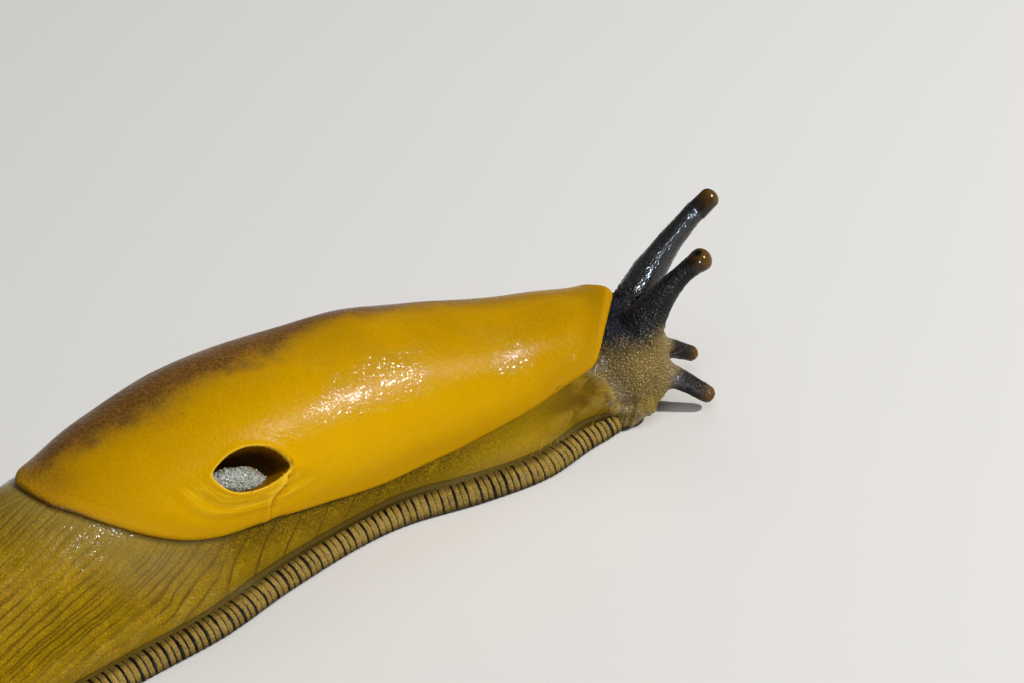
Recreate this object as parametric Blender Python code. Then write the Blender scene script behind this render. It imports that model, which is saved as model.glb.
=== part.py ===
"""Banana slug, crawling: a life-size still model, as one named solid for each part.

The body is a sweep along a curved midline that lies on the floor. A place on it is told by
how far it is behind the snout and by its share of the way from the back's midline (0) to
the upper edge of the foot (1 on the left side, -1 on the right side). The origin is on the
sole, on the midline below the rear of the mantle. +X leads to the head, +Z is up.
Sizes are in millimetres until a mesh is made, which is in metres.
"""
import math
from collections import namedtuple

import bmesh
import bpy
import numpy as np
from mathutils import Vector

MM = 0.001

# Driving sizes of the whole animal, in millimetres
LENGTH = 165.0
GAP = 0.3
SOLE_THICK = 1.2
BODY_FLOOR = SOLE_THICK + GAP
FRINGE_WIDE = 2.4
FRINGE_INSET = 1.2
ORIGIN_BEHIND = 55.0

# The body where its form changes: distance behind the snout, height of the back, half
# width of the foot, and heading of the midline in degrees, left positive
Station = namedtuple("Station", "behind height half_foot heading")
STATIONS = (
    Station(0.0, 4.9, 2.2, -35.0),
    Station(4.0, 8.9, 4.8, -30.0),
    Station(9.0, 10.1, 7.2, -23.5),
    Station(15.0, 10.9, 10.0, -16.0),
    Station(22.0, 12.5, 10.7, -12.0),
    Station(32.0, 14.2, 9.8, -4.0),
    Station(44.0, 15.2, 11.0, 2.0),
    Station(52.0, 14.33, 12.15, 4.63),
    Station(60.0, 13.1, 11.85, 6.5),
    Station(75.0, 11.7, 11.0, 8.3),
    Station(95.0, 11.1, 10.1, 6.0),
    Station(120.0, 9.6, 8.5, -2.0),
    Station(145.0, 6.9, 5.6, -9.0),
    Station(158.0, 4.6, 3.2, -11.0),
    Station(LENGTH, 2.3, 1.5, -12.0),
)
# Half width over height, and how round the back is (2 round, less is keeled)
FRONT_SLENDER = 0.60
REAR_SLENDER = 0.66
SLENDER_FROM = 50.0
SLENDER_TO = 90.0
KEEL_STARTS = 38.0
KEEL_FULL = 120.0
ROUND_BACK = 2.0
KEELED_BACK = 1.38
FLANK_ROUND = 2.1
WIDEST_SHARE = 0.33

# The lengths that the body is divided into, from front to back
BODY_LENGTHS = (
    ("neck", 6.0, 13.0),
    ("trunk_front", 13.0, 37.0),
    ("trunk_rear", 37.0, 64.0),
    ("back", 64.0, 91.0),
    ("tail_front", 91.0, 118.0),
    ("tail_middle", 118.0, 143.0),
    ("tail_tip", 143.0, LENGTH),
)
RING_STEP = 3.0
SIDE_POINTS = 20
CONTOUR_POINTS = 48

# Oblique grooves of the skin behind the mantle
GROOVE_PITCH = 3.3
GROOVE_DEPTH = 0.38
GROOVE_RUN = 7.0
GROOVES_START = 52.0
GROOVES_FULL = 64.0

# The mantle
MANTLE_FRONT = 5.1
MANTLE_REAR = 60.7
MANTLE_CORNER = 10.6
MANTLE_LIFT = 0.7
MANTLE_THICK = 1.8
RIM_LIFT = 0.25
FRONT_LIFT = 0.75
FRONT_LIFT_TO = 6.0
FRONT_LIFT_ENDS = 14.0
RIM_THICK = 1.0
RIM_REACH = 5.0
MANTLE_ROWS = 24
MANTLE_COLUMNS = 22
# Share of the side that the mantle covers, at distances behind the snout
MARGIN_AT = (10.6, 17.0, 24.0, 31.0, 38.0, 44.0, 49.4, 54.3, 58.0, 60.3)
MARGIN_SHARE = (0.605, 0.71, 0.805, 0.855, 0.81, 0.75, 0.685, 0.54, 0.345, 0.15)

# The breathing hole on the right side, and the slit from it to the mantle's edge
HOLE_BEHIND = 44.8
HOLE_DOWN = 9.4
HOLE_HALF_LONG = 3.6
HOLE_HALF_HIGH = 1.8
HOLE_SKEW = 0.3
HOLE_TILT = 19.0
HOLE_DEPTH = 4.0
SLIT_WIDE = 0.45
SLIT_DEEP = 1.1
SLIT_LINE = ((41.7, 10.6), (42.5, 11.5), (43.5, 11.85), (44.0, 12.4), (44.4, 13.2), (44.8, 14.0),
             (45.1, 15.2))

# The head, in its own frame: forward of the snout, to the left, and up from the floor
HEAD_BACK = 6.0
HEAD_SQUARE = 2.3
HEAD_SQUARE_BELOW = 3.4
HeadRing = namedtuple("HeadRing", "behind bottom top half_wide")
HEAD_RINGS = (
    HeadRing(0.68, 2.7, 4.7, 1.3),
    HeadRing(0.85, 1.9, 5.6, 2.4),
    HeadRing(1.25, 1.15, 6.5, 3.5),
    HeadRing(2.0, 0.7, 7.5, 4.4),
    HeadRing(3.1, 0.5, 8.4, 5.2),
    HeadRing(4.1, 0.5, 8.85, 5.65),
    HeadRing(4.7, 1.5, 9.05, 5.75),
    HeadRing(HEAD_BACK - GAP / 2.0, 1.5, 9.35, 5.75),
)
HEAD_SIDES = 28
LIP_CENTRE = (-4.3, 3.9, 1.7)
LIP_HALF = (2.5, 2.2, 1.3)
LIP_TURN = 25.0
MOUTH_SLOT = (2.6, 0.5, 2.0)
MOUTH_AT = (-0.8, 0.0, 1.5)
LIP_CREASE = (1.1, 3.6, 0.32)
LIP_CREASE_AT = (-0.7, 0.0, 2.75)

Feeler = namedtuple("Feeler", "name root middle tip radii")
UPPER_TENTACLES = (
    Feeler("right", (-3.3, -2.2, 7.2), (-0.5, -2.6, 11.7), (3.1, -3.2, 15.1), (2.2, 1.42, 0.88, 0.97)),
    Feeler("left", (-3.5, 2.2, 7.2), (-0.6, 3.0, 12.15), (4.8, 4.7, 16.95), (2.1, 1.5, 1.03, 0.87)),
)
LOWER_TENTACLES = (
    Feeler("right", (-2.1, -1.9, 3.6), (0.4, -2.85, 2.6), (2.8, -3.5, 1.1), (1.4, 1.05, 0.85, 0.72)),
    Feeler("left", (-2.1, 1.7, 3.7), (-0.1, 2.4, 2.85), (1.75, 3.0, 1.65), (1.25, 0.95, 0.78, 0.66)),
)
TENTACLE_SIDES = 14
TENTACLE_RINGS = 9
EYE_SHARE = 0.84
EYE_BULGE = 1.08
EYE_RINGS = 6

# The foot
SOLE_FRONT = 5.1
FOOT_CORNER = 0.94
SOLE_REAR = 157.5
SOLE_SPLIT = 80.0
SOLE_STEP = 4.0
FRINGE_FRONT = 5.4
FRINGE_SPLIT = 80.0
FRINGE_BAR = 2.4
FRINGE_NOTCH = 0.28
FRINGE_SHOULDER = 0.45
FRINGE_TOE = 0.15
TAIL_PORE_BEHIND = 161.0
TAIL_PORE_HALF = (1.5, 0.6, 0.7)

# Colours as linear values, then roughness
MATERIALS = {
    "slug_mantle": ((0.62, 0.33, 0.012), 0.28),
    "slug_skin": ((0.27, 0.19, 0.022), 0.38),
    "slug_head": ((0.045, 0.045, 0.04), 0.35),
    "slug_fringe": ((0.30, 0.22, 0.07), 0.42),
    "slug_sole": ((0.42, 0.34, 0.16), 0.45),
    "slug_eye": ((0.12, 0.05, 0.015), 0.2),
}


def smooth_curve(at, values, x):
    """Value at x of the smooth curve through the given values."""
    at = np.asarray(at, float)
    values = np.asarray(values, float)
    slopes = np.diff(values) / np.diff(at)
    tangent = np.concatenate([slopes[:1], (slopes[:-1] + slopes[1:]) / 2.0, slopes[-1:]])
    i = np.clip(np.searchsorted(at, x) - 1, 0, len(at) - 2)
    span = at[i + 1] - at[i]
    t = (x - at[i]) / span
    t2 = t * t
    t3 = t2 * t
    ends = (2 * t3 - 3 * t2 + 1) * values[i] + (3 * t2 - 2 * t3) * values[i + 1]
    return ends + ((t3 - 2 * t2 + t) * tangent[i] + (t3 - t2) * tangent[i + 1]) * span


def ramp(x, start, end):
    """Smooth rise from 0 at start to 1 at end."""
    t = np.clip((x - start) / (end - start), 0.0, 1.0)
    return t * t * (3.0 - 2.0 * t)


def station_curve(field, behind):
    at = [station.behind for station in STATIONS]
    values = [getattr(station, field) for station in STATIONS]
    return smooth_curve(at, values, behind)


def trace_midline():
    """The midline on the floor: distances behind the snout, x and y, heading in radians."""
    behind = np.linspace(0.0, LENGTH, 661)
    heading = np.radians([station_curve("heading", b) for b in behind])
    middle = (heading[1:] + heading[:-1]) / 2.0
    step = behind[1] - behind[0]
    x = -np.concatenate([[0.0], np.cumsum(np.cos(middle) * step)])
    y = -np.concatenate([[0.0], np.cumsum(np.sin(middle) * step)])
    x -= np.interp(ORIGIN_BEHIND, behind, x)
    y -= np.interp(ORIGIN_BEHIND, behind, y)
    return behind, x, y, heading


MIDLINE = trace_midline()


def on_floor(behind, left):
    """Floor point beside the midline, also a little ahead of the snout."""
    at, xs, ys, headings = MIDLINE
    inside = min(max(behind, 0.0), LENGTH)
    heading = np.interp(inside, at, headings)
    ahead = inside - behind
    x = np.interp(inside, at, xs) + math.cos(heading) * ahead - math.sin(heading) * left
    y = np.interp(inside, at, ys) + math.sin(heading) * ahead + math.cos(heading) * left
    return x, y


def half_contour(behind):
    """Left half of the body's section, from the back to the foot, with its running length."""
    height = station_curve("height", behind)
    foot = station_curve("half_foot", behind) - FRINGE_INSET
    slender = FRONT_SLENDER + (REAR_SLENDER - FRONT_SLENDER) * ramp(behind, SLENDER_FROM, SLENDER_TO)
    keel = ROUND_BACK + (KEELED_BACK - ROUND_BACK) * ramp(behind, KEEL_STARTS, KEEL_FULL)
    wide = height * slender
    waist = BODY_FLOOR + WIDEST_SHARE * (height - BODY_FLOOR)
    upper = np.linspace(math.pi / 2.0, 0.0, CONTOUR_POINTS)
    lower = np.linspace(0.0, math.pi / 2.0, CONTOUR_POINTS)[1:]
    y = wide * np.clip(np.cos(upper), 0.0, 1.0) ** (2.0 / FLANK_ROUND)
    z = waist + (height - waist) * np.sin(upper) ** (2.0 / keel)
    y = np.concatenate([y, foot + (wide - foot) * np.cos(lower)])
    z = np.concatenate([z, waist - (waist - BODY_FLOOR) * np.sin(lower)])
    run = np.concatenate([[0.0], np.cumsum(np.hypot(np.diff(y), np.diff(z)))])
    return y, z, run


def skin_point(behind, share, lift=0.0):
    """Point on the body at a share of its side, lifted square to the section's outline."""
    y, z, run = half_contour(behind)
    down = min(abs(share), 1.0) * run[-1]
    low = max(down - 0.25, 0.0)
    high = min(down + 0.25, run[-1])
    along_y = np.interp(high, run, y) - np.interp(low, run, y)
    along_z = np.interp(high, run, z) - np.interp(low, run, z)
    size = math.hypot(along_y, along_z)
    left = np.interp(down, run, y) - lift * along_z / size
    up = np.interp(down, run, z) + lift * along_y / size
    if down < 0.25:
        left = np.interp(down, run, y)
        up = np.interp(down, run, z) + lift
    px, py = on_floor(behind, math.copysign(left, share))
    return px, py, up


def side_length(behind):
    return half_contour(behind)[2][-1]


def new_object(name, material, mesh):
    thing = bpy.data.objects.new(name, mesh)
    bpy.context.scene.collection.objects.link(thing)
    mesh.shade_smooth()
    mesh.set_sharp_from_angle(angle=math.radians(40.0))
    if material:
        mesh.materials.append(bpy.data.materials[material])
    else:
        thing.hide_render = True
        thing.display_type = "WIRE"
    return thing


def mesh_from(name, points, faces):
    """Closed mesh in metres from points in millimetres, with its faces turned out."""
    mesh = bpy.data.meshes.new(name)
    mesh.from_pydata([Vector(point) * MM for point in points], [], faces)
    work = bmesh.new()
    work.from_mesh(mesh)
    bmesh.ops.recalc_face_normals(work, faces=work.faces)
    work.to_mesh(mesh)
    work.free()
    return mesh


def loft(rings):
    """Points and faces of a closed body through rings of equal length, with flat ends."""
    count = len(rings[0])
    points = [point for ring in rings for point in ring]
    faces = []
    for row in range(len(rings) - 1):
        for i in range(count):
            j = (i + 1) % count
            a = row * count
            faces.append((a + i, a + j, a + count + j, a + count + i))
    last = (len(rings) - 1) * count
    faces.append(tuple(range(count - 1, -1, -1)))
    faces.append(tuple(range(last, last + count)))
    return points, faces


def cut(thing, cutter, operation="DIFFERENCE"):
    modifier = thing.modifiers.new(f"{operation.title()} {cutter.name}", "BOOLEAN")
    modifier.operation = operation
    modifier.solver = "EXACT"
    modifier.object = cutter
    return modifier


def groove(behind, share):
    """Depth of the skin's oblique grooves, which run back and slowly down."""
    down = abs(share) * side_length(behind)
    phase = (down - (behind - GROOVES_START) / GROOVE_RUN) / GROOVE_PITCH
    bite = (0.5 - 0.5 * math.cos(2.0 * math.pi * phase)) ** 2
    fade = ramp(behind, GROOVES_START, GROOVES_FULL) * (1.0 - ramp(behind, 148.0, 160.0))
    edge = ramp(abs(share), 0.05, 0.15) * (1.0 - ramp(abs(share), 0.9, 0.98))
    return GROOVE_DEPTH * bite * float(fade) * float(edge)


def body_ring(behind):
    """Ring of the body: over the back from the right edge of the foot to the left one."""
    shares = np.linspace(-1.0, 1.0, 2 * SIDE_POINTS + 1)
    return [skin_point(behind, share, -groove(behind, share)) for share in shares]


def body_length(name, start, end):
    """One length of the body, with half of the gap to its neighbour off each end."""
    start += GAP / 2.0
    end -= GAP / 2.0
    count = max(2, round((end - start) / RING_STEP))
    rings = [body_ring(b) for b in np.linspace(start, end, count + 1)]
    points, faces = loft(rings)
    return new_object(name, "slug_skin", mesh_from(name, points, faces))


def mantle_place(row, across):
    """Place on the mantle: row 0 at its front edge to 1 at its rear tip, across -1 to 1."""
    side = MANTLE_CORNER + row * (MARGIN_AT[-1] - MANTLE_CORNER)
    middle = MANTLE_FRONT + row * (MANTLE_REAR - MANTLE_FRONT)
    bow = (1.0 - row) * (0.62 * (math.hypot(across, 0.06) - 0.06) / 0.942 + 0.38 * abs(across) ** 14)
    bow += row * across * across
    behind = middle + (side - middle) * bow
    share = across * smooth_curve(MARGIN_AT, MARGIN_SHARE, side)
    return behind, share * side_length(behind)


def mantle_rows():
    """Row places, closer together at the rounded rear."""
    t = np.linspace(0.0, 1.0, MANTLE_ROWS)
    return 1.0 - (1.0 - t) ** 1.25


def place_points(places, lift):
    """Points on the body at places (behind, down), by one lift or a lift for each."""
    lifts = np.broadcast_to(lift, len(places))
    return [skin_point(b, down / side_length(b), up) for (b, down), up in zip(places, lifts)]


def rim_share(grid):
    """For each place of the mantle's sheet, 0 at its edge to 1 well inside."""
    edge = np.array([grid[i, j] for i, j in grid_loop()])
    gaps = [np.min(np.hypot(*(edge - place).T)) for place in grid.reshape(-1, 2)]
    return ramp(np.array(gaps), 0.0, RIM_REACH)


def edge_lift(places):
    """Lift of the mantle's edge at places, which stands up in front, above the neck."""
    return FRONT_LIFT + (RIM_LIFT - FRONT_LIFT) * ramp(places[:, 0], FRONT_LIFT_TO, FRONT_LIFT_ENDS)


def mantle_lifts(grid):
    """Lifts of the mantle's outer and inner side, which close up towards its edge."""
    inside = rim_share(grid)
    edge = edge_lift(grid.reshape(-1, 2))
    outer = edge + (MANTLE_LIFT - edge) * inside
    return outer, outer - RIM_THICK - (MANTLE_THICK - RIM_THICK) * inside


def mantle_grid(inset):
    """Places of the mantle's sheet, drawn in from its margin by the inset."""
    grid = np.array([[mantle_place(row, across) for across in np.linspace(-1.0, 1.0, MANTLE_COLUMNS)]
                     for row in mantle_rows()])
    loop = grid_loop()
    edge = np.array([grid[i, j] for i, j in loop])
    inward = loop_inward(edge)
    for (i, j), direction in zip(loop, inward):
        grid[i, j] += direction * inset
    return grid


def grid_loop():
    """Indices round the sheet's edge: front, left side, rear, right side."""
    last = MANTLE_ROWS - 1
    side = MANTLE_COLUMNS - 1
    loop = [(0, j) for j in range(side)]
    loop += [(i, side) for i in range(last)]
    loop += [(last, j) for j in range(side, 0, -1)]
    loop += [(i, 0) for i in range(last, 0, -1)]
    return loop


def loop_inward(edge):
    """Unit directions that lead into the sheet, square to its edge."""
    along = np.roll(edge, -1, axis=0) - np.roll(edge, 1, axis=0)
    inward = np.stack([along[:, 1], -along[:, 0]], axis=1)
    inward /= np.linalg.norm(inward, axis=1)[:, None]
    centre = edge.mean(axis=0)
    if np.sum((centre - edge) * inward) < 0.0:
        inward = -inward
    return inward


def sheet_body(name, material, grid, outer, inner, rim):
    """Closed body between two lifts over a grid of places, with a rim of (reach, lift)."""
    rows, columns = grid.shape[:2]
    loop = grid_loop()
    edge = np.array([grid[i, j] for i, j in loop])
    outward = -loop_inward(edge)
    points = place_points(grid.reshape(-1, 2), outer)
    faces = []
    for i in range(rows - 1):
        for j in range(columns - 1):
            a = i * columns + j
            faces.append((a, a + 1, a + columns + 1, a + columns))
    ring = [i * columns + j for i, j in loop]
    count = len(ring)
    for reach, lift in rim:
        base = len(points)
        points += place_points(edge + outward * reach, lift)
        new_ring = list(range(base, base + count))
        faces += band(ring, new_ring)
        ring = new_ring
    base = len(points)
    points += place_points(grid.reshape(-1, 2), inner)
    faces += [tuple(base + k for k in reversed(face)) for face in faces[:(rows - 1) * (columns - 1)]]
    faces += band(ring, [base + i * columns + j for i, j in loop])
    return new_object(name, material, mesh_from(name, points, faces))


def band(first, second):
    count = len(first)
    return [(first[i], second[i], second[(i + 1) % count], first[(i + 1) % count]) for i in range(count)]


def hole_prism(name, grow, top, bottom):
    """Almond-shaped cutter for the breathing hole, square to the mantle."""
    tilt = math.radians(HOLE_TILT)
    outline = []
    for k in range(20):
        angle = 2.0 * math.pi * k / 20
        along = (HOLE_HALF_LONG + grow) * math.cos(angle)
        high = (HOLE_HALF_HIGH + grow) * math.sin(angle) * (1.0 - 0.35 * abs(math.cos(angle)) ** 3)
        along += HOLE_SKEW * high
        behind = HOLE_BEHIND + along * math.cos(tilt) + high * math.sin(tilt)
        down = HOLE_DOWN - along * math.sin(tilt) + high * math.cos(tilt)
        outline.append((behind, -down))
    rings = [place_points(outline, lift) for lift in (top, bottom)]
    points, faces = loft(rings)
    return new_object(name, None, mesh_from(name, points, faces))


def slit_wedge():
    """Cutter for the slit that leads from the hole's front corner to the mantle's edge."""
    rings = []
    for behind, down in SLIT_LINE:
        half = SLIT_WIDE / 2.0
        mouth = [(behind + half, -down), (behind - half, -down)]
        top = place_points(mouth, MANTLE_LIFT + 0.6)
        deep = place_points([(behind - 0.05, -down), (behind + 0.05, -down)], MANTLE_LIFT - SLIT_DEEP)
        rings.append(top + deep)
    points, faces = loft(rings)
    return new_object("slit_cutter", None, mesh_from("slit_cutter", points, faces))


def make_mantle():
    """The mantle: a thick sheet with a round rim, the breathing hole and its slit."""
    half = RIM_THICK / 2.0
    grid = mantle_grid(half)
    turns = np.radians((35.0, 70.0, 110.0, 145.0))
    edge = edge_lift(np.array([grid[i, j] for i, j in grid_loop()]))
    rim = [(half * math.sin(a), edge - half + half * math.cos(a)) for a in turns]
    outer, inner = mantle_lifts(grid)
    mantle = sheet_body("mantle", "slug_mantle", grid, outer, inner, rim)
    cut(mantle, hole_prism("hole_cutter", 0.0, MANTLE_LIFT + 1.0, MANTLE_LIFT - MANTLE_THICK - 0.5))
    cut(mantle, slit_wedge())
    return mantle


def make_recess():
    """Cutter that clears the flesh below the mantle, with the gap all round."""
    grid = mantle_grid(-GAP)
    floor = mantle_lifts(grid)[1] - GAP
    return sheet_body("recess_cutter", None, grid, 3.0, floor, [(0.0, 0.8)])


def head_point(forward, left, up):
    x, y = on_floor(-forward, left)
    return Vector((x, y, up))


def head_straight(forward, left, up):
    """Point of the head's own frame, which keeps the snout's heading."""
    heading = MIDLINE[3][0]
    x, y = on_floor(0.0, 0.0)
    x += forward * math.cos(heading) - left * math.sin(heading)
    y += forward * math.sin(heading) + left * math.cos(heading)
    return Vector((x, y, up))


def head_ring(ring):
    middle = (ring.top + ring.bottom) / 2.0
    half = (ring.top - ring.bottom) / 2.0
    points = []
    for angle in np.linspace(0.0, 2.0 * math.pi, HEAD_SIDES, endpoint=False):
        c = math.cos(angle)
        s = math.sin(angle)
        power = 2.0 / (HEAD_SQUARE if s >= 0.0 else HEAD_SQUARE_BELOW)
        left = ring.half_wide * math.copysign(abs(c) ** power, c)
        up = middle + half * math.copysign(abs(s) ** power, s)
        points.append(head_point(-ring.behind, left, up))
    return points


def head_rings():
    """The head's rings, with one more between each pair."""
    at = [ring.behind for ring in HEAD_RINGS]
    rings = []
    for i, ring in enumerate(HEAD_RINGS):
        rings.append(ring)
        if i + 1 < len(HEAD_RINGS):
            half_way = (at[i] + at[i + 1]) / 2.0
            values = [smooth_curve(at, column, half_way) for column in list(zip(*HEAD_RINGS))[1:]]
            rings.append(HeadRing(half_way, *values))
    return rings


def ball(name, centre, half, turn, material=None):
    """Egg-shaped closed body in the head's frame, turned about the vertical."""
    mesh = bpy.data.meshes.new(name)
    work = bmesh.new()
    bmesh.ops.create_uvsphere(work, u_segments=16, v_segments=10, radius=1.0)
    heading = MIDLINE[3][0] + math.radians(turn)
    place = head_straight(*centre)
    for vertex in work.verts:
        x, y, z = (vertex.co[k] * half[k] for k in range(3))
        vertex.co = (place + Vector((x * math.cos(heading) - y * math.sin(heading),
                                     x * math.sin(heading) + y * math.cos(heading), z))) * MM
    work.to_mesh(mesh)
    work.free()
    return new_object(name, material, mesh)


def wedge(name, centre, size):
    """Lens-shaped slot cutter in the head's frame, of the given length, width and height."""
    return ball(name, centre, tuple(value / 2.0 for value in size), 0.0)


def curve_point(feeler, t):
    """Point on a feeler's curve through its root, middle and tip."""
    root, middle, tip = (np.array(point) for point in (feeler.root, feeler.middle, feeler.tip))
    handle = 2.0 * middle - (root + tip) / 2.0
    return (1 - t) ** 2 * root + 2 * t * (1 - t) * handle + t * t * tip


def feeler_radius(feeler, t):
    return float(smooth_curve((0.0, 0.35, 0.7, 1.0), feeler.radii, t))


def feeler_ring(feeler, t, radius, ahead=0.0):
    """Circle of the given radius round a feeler's curve, moved ahead along it."""
    along = Vector(curve_point(feeler, min(t + 0.02, 1.0)) - curve_point(feeler, max(t - 0.02, 0.0)))
    along.normalize()
    side = along.cross(Vector((0.0, 0.0, 1.0))).normalized()
    over = side.cross(along)
    centre = Vector(curve_point(feeler, t)) + along * ahead
    ring = []
    for angle in np.linspace(0.0, 2.0 * math.pi, TENTACLE_SIDES, endpoint=False):
        ring.append(head_straight(*(centre + (side * math.cos(angle) + over * math.sin(angle)) * radius)))
    return ring


def round_end(feeler, t, radius, reach, rings):
    """Rings that close a feeler with a round end of the given reach."""
    made = []
    for k in range(1, rings + 1):
        angle = math.pi / 2.0 * k / (rings + 0.4)
        made.append(feeler_ring(feeler, t, radius * math.cos(angle), reach * math.sin(angle)))
    return made


def make_upper_tentacle(feeler):
    """An eye-bearing tentacle, open to its eye bulb across the gap."""
    name = f"upper_tentacle_{feeler.name}"
    places = np.linspace(0.0, EYE_SHARE, TENTACLE_RINGS)
    rings = [feeler_ring(feeler, t, feeler_radius(feeler, t)) for t in places]
    points, faces = loft(rings)
    return new_object(name, "slug_head", mesh_from(name, points, faces))


def make_eye(feeler):
    """The bulb at a tentacle's end that holds the eye."""
    name = f"eye_{feeler.name}"
    length = (Vector(feeler.tip) - Vector(feeler.middle)).length * 2.0
    start = EYE_SHARE + GAP / length
    radius = feeler_radius(feeler, 1.0)
    rings = [feeler_ring(feeler, start, feeler_radius(feeler, start))]
    middle = (start + 0.94) / 2.0
    rings.append(feeler_ring(feeler, middle, radius * EYE_BULGE))
    rings.append(feeler_ring(feeler, 0.94, radius * EYE_BULGE * 0.98))
    rings += round_end(feeler, 0.94, radius * EYE_BULGE * 0.98, radius * 0.9, EYE_RINGS)
    points, faces = loft(rings)
    return new_object(name, "slug_eye", mesh_from(name, points, faces))


def make_lower_tentacle(feeler):
    name = f"lower_tentacle_{feeler.name}"
    rings = [feeler_ring(feeler, t, feeler_radius(feeler, t)) for t in np.linspace(0.0, 0.9, TENTACLE_RINGS)]
    rings += round_end(feeler, 0.9, feeler_radius(feeler, 0.9), 0.6, 4)
    points, faces = loft(rings)
    return new_object(name, "slug_head", mesh_from(name, points, faces))


def root_cutter(feeler, kind):
    """A feeler's root made larger by the gap, which makes its seat in the head."""
    places = np.linspace(0.0, 0.9, TENTACLE_RINGS)
    rings = [feeler_ring(feeler, 0.0, feeler_radius(feeler, 0.0) + GAP, -GAP)]
    rings += [feeler_ring(feeler, t, feeler_radius(feeler, t) + GAP) for t in places]
    points, faces = loft(rings)
    name = f"{kind}_{feeler.name}_cutter"
    return new_object(name, None, mesh_from(name, points, faces))


def slab(name, start, end, bottom, top, half):
    """Box-like cutter across the midline between two distances behind the snout."""
    corners = ((-half, bottom), (half, bottom), (half, top), (-half, top))
    rings = [[(*on_floor(behind, left), up) for left, up in corners] for behind in (start, end)]
    points, faces = loft(rings)
    return new_object(name, None, mesh_from(name, points, faces))


def make_head():
    """The head with its two lip lobes, the mouth and the seats of the four tentacles."""
    points, faces = loft([head_ring(ring) for ring in head_rings()])
    head = new_object("head", "slug_head", mesh_from("head", points, faces))
    for side in (-1, 1):
        centre = (LIP_CENTRE[0], LIP_CENTRE[1] * side, LIP_CENTRE[2])
        cut(head, ball(f"lip_{side + 1}_lobe", centre, LIP_HALF, LIP_TURN * side), "UNION")
    cut(head, slab("foot_seat_cutter", SOLE_FRONT - GAP, 9.0, -1.0, BODY_FLOOR - 0.04, 9.0))
    cut(head, slab("head_back_cutter", HEAD_BACK - GAP / 2.0 + 0.02, 9.0, -1.0, 12.0, 9.0))
    cut(head, wedge("mouth_cutter", MOUTH_AT, MOUTH_SLOT))
    cut(head, wedge("lip_crease_cutter", LIP_CREASE_AT, LIP_CREASE))
    for feeler in UPPER_TENTACLES:
        cut(head, root_cutter(feeler, "upper"))
    for feeler in LOWER_TENTACLES:
        cut(head, root_cutter(feeler, "lower"))
    return head


def foot_half(behind):
    """Half width of the foot, rounded off at its front corners."""
    half = station_curve("half_foot", behind)
    return half * (FOOT_CORNER + (1.0 - FOOT_CORNER) * ramp(behind, SOLE_FRONT, SOLE_FRONT + 3.0))


def make_sole(name, start, end):
    """A length of the sole, flat below and above, between the two fringes."""
    count = max(2, round((end - start) / SOLE_STEP))
    rings = []
    for behind in np.linspace(start, end, count + 1):
        half = foot_half(behind) - FRINGE_WIDE - GAP
        corners = ((-half, 0.0), (half, 0.0), (half, SOLE_THICK), (-half, SOLE_THICK))
        rings.append([(*on_floor(behind, left), up) for left, up in corners])
    points, faces = loft(rings)
    return new_object(name, "slug_sole", mesh_from(name, points, faces))


def fringe_ring(behind, side, notch):
    outer = foot_half(behind) - notch
    inner = max(foot_half(behind) - FRINGE_WIDE, GAP / 2.0)
    ridge = max(outer - FRINGE_INSET, inner + 0.2)
    outline = ((inner, 0.0), (outer - FRINGE_TOE, 0.0), (outer, FRINGE_SHOULDER),
               (ridge, SOLE_THICK - notch * 0.5), (inner, SOLE_THICK))
    return [(*on_floor(behind, left * side), up) for left, up in outline]


def make_fringe(name, side, start, end):
    """A length of the foot's edge with its upright bars, each parted by a notch."""
    count = round((end - start) / FRINGE_BAR) * 2
    places = np.linspace(start, end, count + 1)
    rings = [fringe_ring(b, side, FRINGE_NOTCH if k % 2 else 0.0) for k, b in enumerate(places)]
    points, faces = loft(rings)
    return new_object(name, "slug_fringe", mesh_from(name, points, faces))


def make_tail_pore():
    """Cutter for the slime pore on top of the tail's end."""
    mesh = bpy.data.meshes.new("tail_pore_cutter")
    work = bmesh.new()
    bmesh.ops.create_uvsphere(work, u_segments=12, v_segments=8, radius=1.0)
    x, y, up = skin_point(TAIL_PORE_BEHIND, 0.0)
    heading = np.interp(TAIL_PORE_BEHIND, MIDLINE[0], MIDLINE[3])
    for vertex in work.verts:
        along, left, high = (vertex.co[k] * TAIL_PORE_HALF[k] for k in range(3))
        vertex.co = Vector((x + along * math.cos(heading) - left * math.sin(heading),
                            y + along * math.sin(heading) + left * math.cos(heading), up + high)) * MM
    work.to_mesh(mesh)
    work.free()
    return new_object("tail_pore_cutter", None, mesh)


def make_materials():
    for name, (colour, roughness) in MATERIALS.items():
        material = bpy.data.materials.new(name)
        material.use_nodes = True
        shader = material.node_tree.nodes["Principled BSDF"]
        shader.inputs["Base Color"].default_value = (*colour, 1.0)
        shader.inputs["Roughness"].default_value = roughness
        shader.inputs["Metallic"].default_value = 0.0


def clear_scene():
    for thing in list(bpy.data.objects):
        bpy.data.objects.remove(thing, do_unlink=True)


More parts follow.
